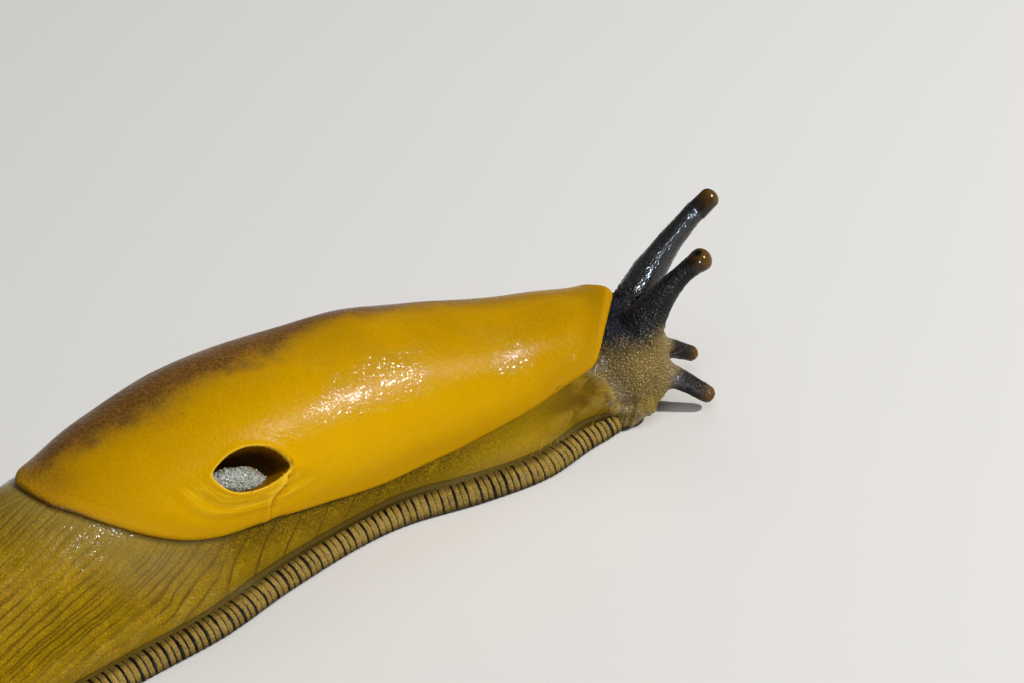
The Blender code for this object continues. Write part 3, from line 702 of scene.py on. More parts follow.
def head_shell(settings):
    """Points, faces and marks of the head's skin with its feelers, as one closed form."""
    meshes = []
    base = 0
    faces = []
    for points, form_faces in head_forms():
        meshes.append(points)
        faces += [[k + base for k in face] for face in form_faces]
        base += len(points)
    mesh = bpy.data.meshes.new("head_forms")
    mesh.from_pydata(np.concatenate(meshes).tolist(), [], faces)
    turn_faces_out(mesh)
    thing = show("head_forms", mesh)
    modifier = thing.modifiers.new("Union", "REMESH")
    modifier.mode = "VOXEL"
    modifier.voxel_size = HEAD_VOXEL
    head = made_flat(thing)
    bpy.data.objects.remove(thing)
    points = read_out(head.vertices, "co", 3).astype(float)
    edges = read_out(head.edges, "vertices", 2, np.int32)
    faces = [list(polygon.vertices) for polygon in head.polygons]
    points = relax(points, edges, np.full(len(points), 0.5), 3)
    place = in_head(points)
    root = np.zeros(len(points))
    for feeler in (*UPPER_FEELERS.values(), *LOWER_FEELERS.values()):
        distance = np.linalg.norm(place - feeler_point(feeler, 0.25), axis=1)
        root = np.maximum(root, ramp(distance, feeler[3][0] * 2.2, feeler[3][0] * 0.8))
    lip = np.zeros(len(points))
    for side in (-1, 1):
        for centre, half, turned in LOBES:
            turn = math.radians(turned * side)
            dx = place[:, 0] - centre[0]
            dy = place[:, 1] - centre[1] * side
            ax = (dx * math.cos(turn) + dy * math.sin(turn)) / half[0]
            ay = (dy * math.cos(turn) - dx * math.sin(turn)) / half[1]
            az = (place[:, 2] - centre[2]) / half[2]
            lip = np.maximum(lip, ramp(np.sqrt(ax ** 2 + ay ** 2 + az ** 2), 1.5, 1.02))
    crease = np.clip(root + lip * 0.6 + ramp(np.abs(place[:, 0] + 5.3), 1.2, 0.3) * 0.8, 0.0, 1.0)
    points = relax(points, edges, crease * 0.5, 14)
    head.vertices.foreach_set("co", points.astype(np.float32).ravel())
    head.update()
    normal = read_out(head.vertices, "normal", 3).astype(float)
    place = in_head(points)
    return finish_head(points, faces, normal, place, lip, settings)


def finish_head(points, faces, normal, place, lip, settings):
    """Lifts the pebbles, cuts the mouth and the lip's folds, and marks the head's tones."""
    up_near, up_along = nearest_feeler(place, UPPER_FEELERS, EYE_SHARE)
    low_near, low_along = nearest_feeler(place, LOWER_FEELERS)
    upper = ramp(up_near, 0.6, 0.05) * ramp(up_along, 0.08, 0.3)
    lower = ramp(low_near, 0.45, 0.05) * ramp(low_along, 0.12, 0.3)
    size = settings.pebble_size / MM
    height = settings.pebble_height / MM * (1.0 - 0.7 * np.maximum(upper, lower))
    lift = (pebbles(points, size, 2) - 0.5) * height * (1.0 - 0.75 * lip)
    lift += 0.08 * waves(points, 1.6, 6)
    forward, left, up = place.T
    slot = bell(left, 0.16) * ramp(up, 3.0, 2.2) * ramp(up, 0.4, 0.9) * ramp(forward, -2.9, -1.9)
    fold = bell(up - 2.85 - 0.05 * left * left, 0.17) * ramp(np.abs(left), 2.6, 1.6)
    fold = fold * ramp(forward, -2.7, -1.7)
    turn = np.arctan2(4.6 - up, forward + 3.2 + 0.25 * waves(points, 1.5, 12))
    from_cheek = np.hypot(4.6 - up, forward + 3.2)
    rib = bell(between(turn / 0.15), 0.34) * ramp(from_cheek, 1.6, 2.6)
    wide = bell(between(turn / 0.42 + 0.3), 0.3) * ramp(from_cheek, 0.9, 1.6)
    lift -= 0.55 * slot + 0.3 * fold + (0.07 * rib + 0.1 * wide) * lip
    points = points + normal * lift[:, None]
    points[:, 2] = np.maximum(points[:, 2], HEAD_FLOOR)
    level = up + 0.25 * waves(points, 1.2, 13) - 0.9 * ramp(forward, -3.0, -0.8)
    dark = np.interp(level, (4.4, 6.0, 7.0, 7.7, 8.4, 9.4), (0.0, 0.1, 0.25, 0.46, 0.74, 1.0))
    dark = np.maximum(dark, upper)
    dark = dark * (1.0 - 0.85 * lip * (1.0 - lower))
    marks = {
        "darkness": dark,
        "lip": lip * (1.0 - lower),
        "feeler": upper * ramp(up_along, 0.1, EYE_SHARE),
        "lower_feeler": lower * low_along,
        "sheen": upper * np.where(left > 0.0, 1.0, 0.03),
        "crease": np.clip((rib + wide) * lip * (1.0 - lower) + slot + fold, 0.0, 1.0),
        "nape": ramp(forward, -3.4, -4.6) * ramp(up, 7.9, 8.8),
    }
    return points, faces, marks


def make_skin(settings):
    """One skin for the body, the head and its feelers."""
    body_points, body_faces, body_marks = body_shell(settings)
    head_points, head_faces, head_marks = head_shell(settings)
    base = len(body_points)
    points = np.concatenate([body_points, head_points])
    faces = body_faces + [[k + base for k in face] for face in head_faces]
    marks = {}
    for name, values in body_marks.items():
        marks[name] = np.concatenate([values, np.zeros(len(head_points))])
    for name, values in head_marks.items():
        marks[name] = np.concatenate([np.zeros(base), values])
    mesh = finish_mesh("skin", points, faces, marks)
    skin = show("skin", mesh, body_material(settings), head_material(settings))
    kinds = np.zeros(len(faces), np.int32)
    kinds[len(body_faces):] = 1
    mesh.polygons.foreach_set("material_index", kinds)
    declare(skin, "body_skin", *FLESH_NODES)
    return skin


# ---- Mantle ----

# Length and half width over which the mantle's rows and columns are spaced. Round the hole
# they lie closer: start, end, step.
MANTLE_RUN = 56.0
MANTLE_HALF = 17.0
ROW_STEP = 0.42
COLUMN_STEP = 0.32
HOLE_ROWS = (37.0, 48.5, 0.125)
HOLE_COLUMNS = (-15.5, -6.0, 0.135)
# The rim's turn from the outer to the inner side in degrees, and the hem tucked in under
# it: out, up, and its place for the colours
RIM_TURNS = (15.0, 30.0, 45.0, 60.0, 75.0, 95.0, 125.0, 160.0)
RIM_HEM = (-2.0, -4.6, -0.5)


def crowded(start, end, step, close):
    """Values from start to end, closer together in one stretch."""
    close_start, close_end, close_step = close
    values = [start]
    while values[-1] < end:
        inside = close_start <= values[-1] <= close_end
        values.append(values[-1] + (close_step if inside else step))
    values = np.array(values)
    return start + (values - start) * (end - start) / (values[-1] - start)


def mantle_relief(behind, down):
    """Lift of the mantle's surface off its smooth form, and the marks that go with it."""
    points = on_skin(behind, down / side_length(behind))
    rho, angle = hole_place(behind, -down)
    rho = np.where(down < 0.0, rho, 9.0)
    gap = (rho - 1.0) * HOLE_HALF[1]
    slit, slit_side = line_distance(behind, -down, SLIT_LINE)
    slit = np.where(down < 0.0, slit, 9.0)
    pale, _ = line_distance(behind, -down, PALE_LINE)
    lift = 0.06 * waves(points, 6.0, 21) + 0.01 * waves(points, 1.6, 22)
    lift += mound(behind, down, SHELL_HUMP)
    lift += mound(behind, down, FRONT_HUMP)
    lift += 0.16 * bell(gap, 0.32) * (gap > -0.1)
    fold = bell(gap - 1.05, 0.28) * 0.16 + bell(gap - 1.9, 0.35) * 0.1
    below = ramp(np.sin(angle), 0.0, 0.6)
    lift -= fold * below
    under = ramp(-down, 9.9, 10.9)
    inland = ramp(-beyond_mantle(behind, down), 0.6, 1.6) * ramp(gap, 0.05, 0.3) * under
    lift -= 0.5 * bell(slit, 0.24) * inland
    lift += 0.14 * (bell(slit - 0.6, 0.4) * (slit_side < 0.0)) * ramp(gap, 0.0, 0.3) * under
    lift -= 0.16 * bell(slit - 0.9, 0.6) * (slit_side > 0.0) * ramp(-down, 10.5, 12.0)
    inner = np.clip(1.0 - rho, 0.0, 1.0)
    lift -= HOLE_DEPTH * ramp(inner, 0.0, 0.32) ** 0.75
    marks = {"hole_gap": gap, "slit_gap": slit, "pale_gap": np.where(down < 0.0, pale, 9.0),
             "hole_turn": np.abs(angle) * 1.5, "hole_below": below * (down < 0.0),
             "flap": bell(slit - 0.45, 0.35) * (slit_side < 0.0) * under * ramp(-down, 13.0, 11.6)}
    return lift, marks


def from_hole(behind, down, scale):
    """Places drawn out from the hole's centre by a scale."""
    return HOLE_AT[0] + (behind - HOLE_AT[0]) * scale, -HOLE_AT[1] + (down + HOLE_AT[1]) * scale


def spread_hole(behind, down):
    """Draws the hole's inner places out, so that its wall is steep and its floor wide."""
    rho, _ = hole_place(behind, -down)
    wider = np.where(rho < 0.68, rho * 0.93 / 0.68, 0.93 + (rho - 0.68) * 0.07 / 0.32)
    return from_hole(behind, down, np.where((rho < 1.0) & (down < 0.0), wider / np.maximum(rho, 1e-6), 1.0))


def meet_hole(behind, down):
    """Moves the places nearest to the hole's outline onto it, so that its edge is clean."""
    rho, angle = hole_place(behind, -down)
    reach_mm = np.hypot(HOLE_HALF[0] * np.cos(angle), HOLE_HALF[1] * np.sin(angle))
    near = (np.abs(rho - 1.0) * reach_mm < 0.075) & (down < 0.0)
    return from_hole(behind, down, np.where(near, 1.0 / np.maximum(rho, 1e-6), 1.0))


def mantle_lift(behind, down):
    """Lift of the mantle's smooth form, which comes down towards its edge."""
    inside = ramp(-beyond_mantle(behind, down), 0.0, RIM_REACH)
    edge = np.interp(behind, FRONT_LIFT_AT, FRONT_LIFT)
    return edge + (MANTLE_LIFT - edge) * inside


def make_mantle(settings):
    """The mantle: a thick sheet with a soft round rim, the breathing hole and its slit."""
    rows = crowded(0.0, MANTLE_RUN, ROW_STEP, HOLE_ROWS) / MANTLE_RUN
    columns = crowded(-MANTLE_HALF, MANTLE_HALF, COLUMN_STEP, HOLE_COLUMNS) / MANTLE_HALF
    row_grid, column_grid = np.meshgrid(rows, columns, indexing="ij")
    behind, down = mantle_place(row_grid, column_grid)
    last = len(rows) - 1
    side = len(columns) - 1
    loop = ([(0, j) for j in range(side)] + [(i, side) for i in range(last)]
            + [(last, j) for j in range(side, 0, -1)] + [(i, 0) for i in range(last, 0, -1)])
    loop_i, loop_j = np.array(loop).T
    edge = np.stack([behind[loop_i, loop_j], down[loop_i, loop_j]], axis=1)
    along = np.roll(edge, -2, axis=0) - np.roll(edge, 2, axis=0)
    inward = np.stack([along[:, 1], -along[:, 0]], axis=1)
    inward /= np.linalg.norm(inward, axis=1)[:, None]
    if np.sum((edge.mean(axis=0) - edge) * inward) < 0.0:
        inward = -inward
    loose = beyond_mantle(behind, down) > -RIM_HALF * 2.4
    loose[loop_i, loop_j] = False
    edge = edge + inward * RIM_HALF
    behind[loop_i, loop_j], down[loop_i, loop_j] = edge.T
    behind, down = settle(behind, down, loose)
    behind, down = meet_hole(behind.ravel(), down.ravel())
    relief, marks = mantle_relief(behind, down)
    relief = relief + mantle_lift(behind, down)
    wide_behind, wide_down = spread_hole(behind, down)
    points = on_skin(wide_behind, wide_down / side_length(wide_behind), relief)
    marks["edge_gap"] = np.maximum(-beyond_mantle(behind, down), RIM_HALF)
    marks["behind"] = behind
    marks["share"] = down / side_length(behind)
    faces = grid_faces(len(rows), len(columns))
    close_mantle(points, faces, marks, edge, -inward, loop_i * len(columns) + loop_j, relief, settings)


def settle(behind, down, loose):
    """Evens out the loose places of the grid between their neighbours."""
    for _ in range(80):
        for values in (behind, down):
            mean = values.copy()
            mean[1:-1, 1:-1] = (values[:-2, 1:-1] + values[2:, 1:-1]
                                + values[1:-1, :-2] + values[1:-1, 2:]) / 4.0
            values[loose] = mean[loose]
    return behind, down


def close_mantle(points, faces, marks, edge, outward, loop, relief, settings):
    """Adds the round rim and the inner side, and shows the mantle."""
    ring = loop.tolist()
    count = len(ring)
    points = [points]
    total = len(points[0])
    kept = {name: [values] for name, values in marks.items()}
    steps = [(RIM_HALF * math.sin(turn), RIM_HALF * (math.cos(turn) - 1.0), RIM_HALF * (1.0 - math.sin(turn)))
             for turn in np.radians(RIM_TURNS)]
    for out, drop, gap in [*steps, RIM_HEM]:
        place = edge + outward * out
        points.append(on_skin(place[:, 0], place[:, 1] / side_length(place[:, 0]), relief[loop] + drop))
        new_ring = list(range(total, total + count))
        for k in range(count):
            n = (k + 1) % count
            faces.append([ring[k], new_ring[k], new_ring[n], ring[n]])
        total += count
        for name in kept:
            kept[name].append(np.full(count, gap) if name == "edge_gap" else marks[name][loop])
        ring = new_ring
    faces.append(ring[::-1])
    mesh = finish_mesh("mantle_skin", np.concatenate(points), faces,
                       {name: np.concatenate(values) for name, values in kept.items()})
    mantle = show("mantle_skin", mesh, mantle_material(settings))
    declare(mantle, "mantle_skin", "mantle")


# ---- Node trees ----

# In the materials, numbers beside a mark of a distance are millimetres. Sizes of grain,
# cells, patches and bumps are metres.

# The way the painted light on each skin cell comes from, close to the key light's way: a little to the head
# and to the right
PAINTED_LIGHT_WAY = (0.5, -0.35, 0.79)


def put(tree, kind, settings=None, **feeds):
    """Adds a node, with its options set and its sockets fed by a value or another socket."""
    made = tree.nodes.new(kind)
    for key, value in (settings or {}).items():
        setattr(made, key, value)
    for key, value in feeds.items():
        socket = made.inputs[int(key[1:])] if key[0] == "_" else made.inputs[key.replace("_", " ")]
        if isinstance(value, bpy.types.NodeSocket):
            tree.links.new(value, socket)
        else:
            socket.default_value = value
    return made


def tree_of(*values):
    """The tree that the first socket among the values is in."""
    return next(value.id_data for value in values if isinstance(value, bpy.types.NodeSocket))


def calc(operation, first, second=0.0):
    made = put(tree_of(first, second), "ShaderNodeMath", {"operation": operation}, _0=first, _1=second)
    return made.outputs[0]


def plus(first, second):
    return calc("ADD", first, second)


def minus(first, second):
    return calc("SUBTRACT", first, second)


def most(first, second):
    return calc("MAXIMUM", first, second)


def times(first, *others):
    """The product of two or more values."""
    for other in others:
        first = calc("MULTIPLY", first, other)
    return first


def off_middle(count):
    """0 half way between two whole numbers, to a half on each."""
    return calc("ABSOLUTE", minus(calc("FRACT", count), 0.5))


def reach(value, start, end, low=0.0, high=1.0):
    """Smooth change from low at start to high at end."""
    made = put(tree_of(value), "ShaderNodeMapRange", {"interpolation_type": "SMOOTHSTEP"}, Value=value,
               From_Min=start, From_Max=end, To_Min=low, To_Max=high)
    return made.outputs[0]


def colour(value):
    """A colour setting with its alpha. A socket stays as it is."""
    return value if isinstance(value, bpy.types.NodeSocket) else (*tuple(value)[:3], 1.0)


def tint(share, first, second):
    """First colour, turned to the second by a share."""
    made = put(tree_of(share), "ShaderNodeMix", {"data_type": "RGBA"}, _0=share, _6=colour(first),
               _7=colour(second))
    return made.outputs[2]


def layers(shade, *coats):
    """A colour with each coat over it, as (share, colour)."""
    for share, over in coats:
        shade = tint(share, shade, over)
    return shade


def mark(tree, name):
    return put(tree, "ShaderNodeAttribute", {"attribute_name": name}).outputs["Fac"]


def read_marks(tree, *names):
    return [mark(tree, name) for name in names]


def noise(place, scale, detail, roughness=0.5):
    return put(tree_of(place), "ShaderNodeTexNoise", Vector=place, Scale=scale, Detail=detail,
               Roughness=roughness).outputs


def shader_group(name, inputs, outputs):
    """A new shader group: its inputs' sockets, the place first, and its output node."""
    tree = bpy.data.node_groups.new(name, "ShaderNodeTree")
    tree.interface.new_socket(name="Place", in_out="INPUT", socket_type="NodeSocketVector")
    for label, default in inputs.items():
        socket = tree.interface.new_socket(name=label, in_out="INPUT", socket_type="NodeSocketFloat")
        socket.default_value = default
    for label in outputs:
        tree.interface.new_socket(name=label, in_out="OUTPUT", socket_type="NodeSocketFloat")
    given = tree.nodes.new("NodeGroupInput").outputs
    return [given[k] for k in range(len(inputs) + 1)], tree.nodes.new("NodeGroupOutput")


def grain_group():
    """Fine granules in the skin: a mask of light specks and a height for the bump."""
    (place, size, unevenness), out = shader_group(
        "Skin Grain", {"Grain Size": 0.0003, "Unevenness": 0.5}, ("Speck", "Height", "Cloud"))
    scale = calc("DIVIDE", 1.0, size)
    fine = noise(place, scale, 3.0, 0.6)[0]
    cells = put(out.id_data, "ShaderNodeTexVoronoi", {"feature": "F1"}, Vector=place, Scale=times(scale, 0.8))
    cloud = noise(place, times(scale, 0.09), 4.0, 0.55)[0]
    dome = reach(cells.outputs["Distance"], 0.75, 0.1)
    height = times(plus(times(dome, 0.6), times(fine, 0.7)), unevenness)
    feed(out, Speck=reach(fine, 0.42, 0.66), Height=height, Cloud=reach(cloud, 0.3, 0.7))
    return out.id_data


def wet_group():
    """The slime's film: gloss that pools and thins over a few millimetres."""
    (place, pooled, thin, patch), out = shader_group(
        "Wet Film", {"Wet Roughness": 0.16, "Thin Roughness": 0.34, "Patch Size": 0.004}, ("Roughness",))
    film = reach(noise(place, calc("DIVIDE", 1.0, patch), 5.0, 0.6)[0], 0.38, 0.62)
    feed(out, Roughness=plus(thin, times(film, minus(pooled, thin))))
    return out.id_data


def cell_group():
    """Small rounded cells: their height for the bump, a tone for each, and how far each point lies towards
    its upper, lit side, for painted highlight and shade.
    """
    (place, size), out = shader_group("Skin Cells", {"Cell Size": 0.00034}, ("Height", "Tone", "Brow"))
    tree = out.id_data
    scale = calc("DIVIDE", 1.0, size)
    sway = noise(place, times(scale, 0.7), 1.0)["Color"]
    bend = put(tree, "ShaderNodeVectorMath", {"operation": "SCALE"}, _0=sway, Scale=times(size, 0.5))
    place = put(tree, "ShaderNodeVectorMath", {"operation": "ADD"}, _0=place, _1=bend.outputs[0]).outputs[0]
    edge = put(tree, "ShaderNodeTexVoronoi", {"feature": "DISTANCE_TO_EDGE"}, Vector=place, Scale=scale)
    which = put(tree, "ShaderNodeTexVoronoi", {"feature": "F1"}, Vector=place, Scale=scale)
    dome = plus(reach(edge.outputs["Distance"], 0.0, 0.3, 0.0, 0.5),
                reach(which.outputs["Distance"], 0.65, 0.1, 0.0, 0.5))
    tone = put(tree, "ShaderNodeSeparateColor", _0=which.outputs["Color"]).outputs[0]
    off = put(tree, "ShaderNodeVectorMath", {"operation": "SUBTRACT"}, _0=place, _1=which.outputs["Position"])
    lighting = put(tree, "ShaderNodeVectorMath", {"operation": "DOT_PRODUCT"}, _0=off.outputs[0], _1=PAINTED_LIGHT_WAY)
    feed(out, Height=dome, Tone=tone, Brow=times(lighting.outputs["Value"], scale))
    return tree


def group_tree(name):
    makers = {"Skin Grain": grain_group, "Wet Film": wet_group, "Skin Cells": cell_group}
    return bpy.data.node_groups.get(name) or makers[name]()


def new_material(name, roughness=0.25, gloss=0.5):
    """A material, its tree, its shader and the object coordinates."""
    material = bpy.data.materials.new(name)
    material.use_nodes = True
    tree = material.node_tree
    shader = tree.nodes["Principled BSDF"]
    shader.inputs["Roughness"].default_value = roughness
    shader.inputs["IOR"].default_value = 1.36
    shader.inputs["Specular IOR Level"].default_value = gloss
    place = put(tree, "ShaderNodeTexCoord").outputs["Object"]
    return material, tree, shader, place


def flesh(shader, weight, scale, red, green, blue):
    """Light that soaks into the flesh, by how far each colour goes, in metres."""
    shader.inputs["Subsurface Weight"].default_value = weight
    shader.inputs["Subsurface Scale"].default_value = scale
    shader.inputs["Subsurface Radius"].default_value = (red, green, blue)


def grain(place, size, unevenness=1.0):
    return put(tree_of(place), "ShaderNodeGroup", {"node_tree": group_tree("Skin Grain")}, Place=place,
               Grain_Size=size, Unevenness=unevenness).outputs


def wet(place, film, thin, patch):
    return put(tree_of(place), "ShaderNodeGroup", {"node_tree": group_tree("Wet Film")}, Place=place,
               Wet_Roughness=film, Thin_Roughness=thin, Patch_Size=patch).outputs["Roughness"]


def skin_cells(place, size):
    return put(tree_of(place), "ShaderNodeGroup", {"node_tree": group_tree("Skin Cells")}, Place=place,
               Cell_Size=size).outputs


def bump(height, distance, strength=1.0):
    return put(tree_of(height), "ShaderNodeBump", Height=height, Distance=distance,
               Strength=strength).outputs[0]


def feed(node, **feeds):
    """Links sockets into a node's inputs, named with _ for each space."""
    for name, socket in feeds.items():
        node.id_data.links.new(socket, node.inputs[name.replace("_", " ")])


def slime(shader, weight, normal, roughness=0.1, density=1.38):
    """A clear wet film over the skin, which glints on its own bumps."""
    shader.inputs["Coat Roughness"].default_value = roughness
    shader.inputs["Coat IOR"].default_value = density
    feed(shader, Coat_Weight=weight, Coat_Normal=normal)


def finish(shader, shade, roughness, normal):
    feed(shader, Base_Color=shade, Roughness=roughness, Normal=normal)


def mantle_material(settings):
    """Yellow skin, browner along the back, with a velvety grain under the slime; painted shade high up, at
    the rim, where it meets the body, in the slit and deep in the hole, and painted highlight on the hole's
    lip.
    """
    material, tree, shader, place = new_material("mantle_skin", gloss=0.06)
    specks = grain(place, 0.0003)
    velvet = grain(place, 0.00011)
    side, behind, edge, hole = read_marks(tree, "share", "behind", "edge_gap", "hole_gap")
    # High on the mantle, and more towards its front, the yellow turns to the back colour: partly a browner
    # back, partly painted shade where the top turns from the light
    high = reach(plus(side, reach(behind, 5.0, 40.0, 0.13, 0.0)), -0.62, -0.02)
    ragged = plus(side, reach(specks["Cloud"], 0.0, 1.0, -0.04, 0.04))
    bound = most(reach(behind, 24.0, 42.0, 0.07, -0.08), reach(behind, 50.0, 59.0, -0.08, 0.02))
    saddle = times(reach(minus(ragged, bound), -0.1, 0.1), reach(ragged, 0.62, 0.36),
                   reach(behind, 8.0, 30.0, 0.35, 1.0))
    saddle = most(saddle, times(reach(behind, 55.5, 60.3), reach(ragged, -0.3, 0.0), 0.75))
    round_hole = put(tree, "ShaderNodeCombineXYZ", X=times(hole, 6.0), Y=mark(tree, "hole_turn")).outputs[0]
    streak = reach(noise(round_hole, 1.0, 3.0)[0], 0.4, 0.65)
    below = times(reach(hole, 2.2, 0.8), reach(hole, 0.0, 0.4), mark(tree, "hole_below"))
    lip = times(reach(hole, 0.18, 0.04), reach(hole, -0.06, 0.0), 0.35)
    shade = layers(
        tint(high, settings.flank_colour, settings.back_and_shade_colour),
        (times(specks["Cloud"], 0.3), settings.deep_colour),
        (times(velvet["Speck"], 0.2), settings.light_colour),
        (saddle, tint(specks["Speck"], settings.saddle_colour, settings.saddle_light)),
        # Deeper orange towards the rim, partly painted shade where the rim rolls down to the body
        (reach(edge, 3.4, 0.3, 0.0, 0.6), settings.rim_and_shade_colour),
        # Painted shadow where the rim meets the body, along the rear part
        (times(reach(edge, 0.22, 0.02), reach(behind, 30.0, 44.0), 0.8), settings.contact_shadow_colour),
        (reach(mark(tree, "pale_gap"), 0.12, 0.02, 0.0, 0.2), settings.line_colour),
        # Painted shade in the slit below the hole
        (reach(mark(tree, "slit_gap"), 0.2, 0.05, 0.0, 0.6), settings.slit_shade_colour),
        (times(streak, below, 0.3), settings.line_colour),
        # A pale yellow line on the hole's lip, with painted highlight on the lip and on the flap's ridge
        # beside the slit
        (most(lip, times(mark(tree, "flap"), 0.6)), settings.lip_colour),
        (reach(hole, -0.012, -0.05), settings.lining_colour),
        # Painted shade deep in the hole
        (reach(hole, -0.35, -1.2), settings.hollow_shade_colour))
    beads = plus(times(specks["Height"], reach(saddle, 0.0, 1.0, 0.5, 1.8)), times(velvet["Height"], 0.15))
    rough = most(wet(place, 0.2, 0.34, 0.004), reach(edge, 1.6, 0.7, 0.0, 0.6))
    finish(shader, shade, rough, bump(beads, 0.00004, 0.8))
    where = most(reach(side, -0.52, -0.36), reach(behind, 15.0, 11.0))
    where = times(where, reach(side, -0.1, -0.26))
    film = times(reach(noise(place, 170.0, 3.0)[0], 0.44, 0.58), reach(edge, 0.6, 2.5),
                 reach(hole, 0.5, 1.7), where, reach(behind, 43.5, 41.0, 0.04, 1.0))
    film = most(film, times(saddle, reach(side, 0.02, -0.1), 0.35))
    slime(shader, film, bump(skin_cells(place, 0.00034)["Height"], 0.00003), 0.08)
    flesh(shader, 0.2, 0.001, 1.0, 0.4, 0.05)
    return material


def body_material(settings):
    """Olive skin with golden granules and thin slanting grooves, amber beside the head, with painted shadow
    below the mantle and along its edge.
    """
    material, tree, shader, place = new_material("body_skin", gloss=0.1)
    specks = grain(place, 0.00017)
    behind, outside, above, count = read_marks(tree, "behind", "beyond_mantle", "above_foot", "groove_count")
    low = calc("ABSOLUTE", mark(tree, "share"))
    # Painted shadow of the mantle on the skin just below its edge, which is also a little more olive there
    under = times(reach(outside, 3.6, 0.0), reach(behind, 54.0, 46.0), reach(behind, 14.0, 28.0, 0.3, 1.0))
    granule = times(specks["Speck"], reach(behind, 10.0, 24.0, 0.15, 0.5),
                    reach(specks["Cloud"], 0.0, 0.8, 1.0, 0.55))
    fine = reach(behind, 44.0, 54.0)
    line = times(reach(off_middle(count), 0.42, 0.48), reach(fine, 0.0, 1.0, 0.95, 0.5))
    line = most(line, times(reach(off_middle(times(count, FINE_GROOVES)), 0.32, 0.46), fine, 0.62))
    patchy = most(reach(grain(place, 0.0007)["Cloud"], 0.1, 0.8, 0.3, 1.0), reach(fine, 1.0, 0.0))
    dark = times(line, patchy, reach(behind, 22.0, 34.0), reach(outside, 0.3, 5.0, 0.5, 1.0))
    collar = reach(behind, 17.0, 8.5)
    sway = noise(place, 260.0, 2.0)[0]
    veil = off_middle(plus(times(plus(behind, times(above, 1.44)), 0.9), times(sway, 6.0)))
    thread = times(reach(veil, 0.09, 0.02), reach(behind, 19.0, 11.0), reach(sway, 0.4, 0.6), 0.6)
    from_head = plus(mark(tree, "from_head"), reach(specks["Cloud"], 0.0, 1.0, -0.5, 0.5))
    cheek = layers(tint(reach(low, 0.6, 0.8), settings.mid_colour, settings.cheek_colour),
                   (times(specks["Speck"], 0.2), settings.net_colour))
    shade = layers(
        tint(reach(low, 0.5, 0.05), settings.side_colour, settings.top_colour),
        (times(specks["Cloud"], 0.6), settings.olive_colour),
        (times(reach(behind, 36.0, 24.0), 0.8), settings.front_colour),
        (under, settings.under_mantle_shadow_colour),
        (granule, settings.grain_colour),
        (times(reach(outside, 5.5, 0.4), reach(behind, 50.0, 56.0), 0.5), settings.ashen_colour),
        (dark, settings.groove_and_shadow_colour),
        (times(collar, 0.9), tint(reach(specks["Cloud"], 0.2, 0.9), settings.collar_colour,
                                  settings.amber_colour)),
        (reach(above, 2.4, 0.9, 0.0, 0.65), settings.low_colour),
        (reach(above, 1.14, 1.0, 0.0, 0.8), settings.groove_and_shadow_colour),
        (reach(above, 0.96, 0.86), settings.foot_band_colour),
        (reach(above, 0.6, 0.5, 0.0, 0.9), settings.groove_and_shadow_colour),
        # Painted shadow along the mantle's edge, where the rim meets the body
        (times(reach(outside, 0.5, 0.02), reach(behind, 28.0, 42.0, 0.0, 0.7)), settings.groove_and_shadow_colour),
        (thread, settings.thread_colour),
        (reach(from_head, 1.2, 0.0), cheek))
    height = plus(minus(times(specks["Height"], 0.8), times(dark, 0.7)), times(thread, 0.7))
    finish(shader, shade, wet(place, 0.36, 0.5, 0.003), bump(height, 0.00006, 0.85))
    film = times(reach(outside, 6.0, 2.0), reach(behind, 47.0, 51.0), reach(behind, 64.0, 58.0))
    film = most(film, times(collar, reach(specks["Cloud"], 0.4, 0.9)))
    film = times(film, reach(above, 1.2, 2.2))
    slime(shader, film, bump(skin_cells(place, 0.0003)["Height"], 0.000022), 0.1)
    flesh(shader, 0.15, 0.0008, 1.0, 0.5, 0.05)
    return material


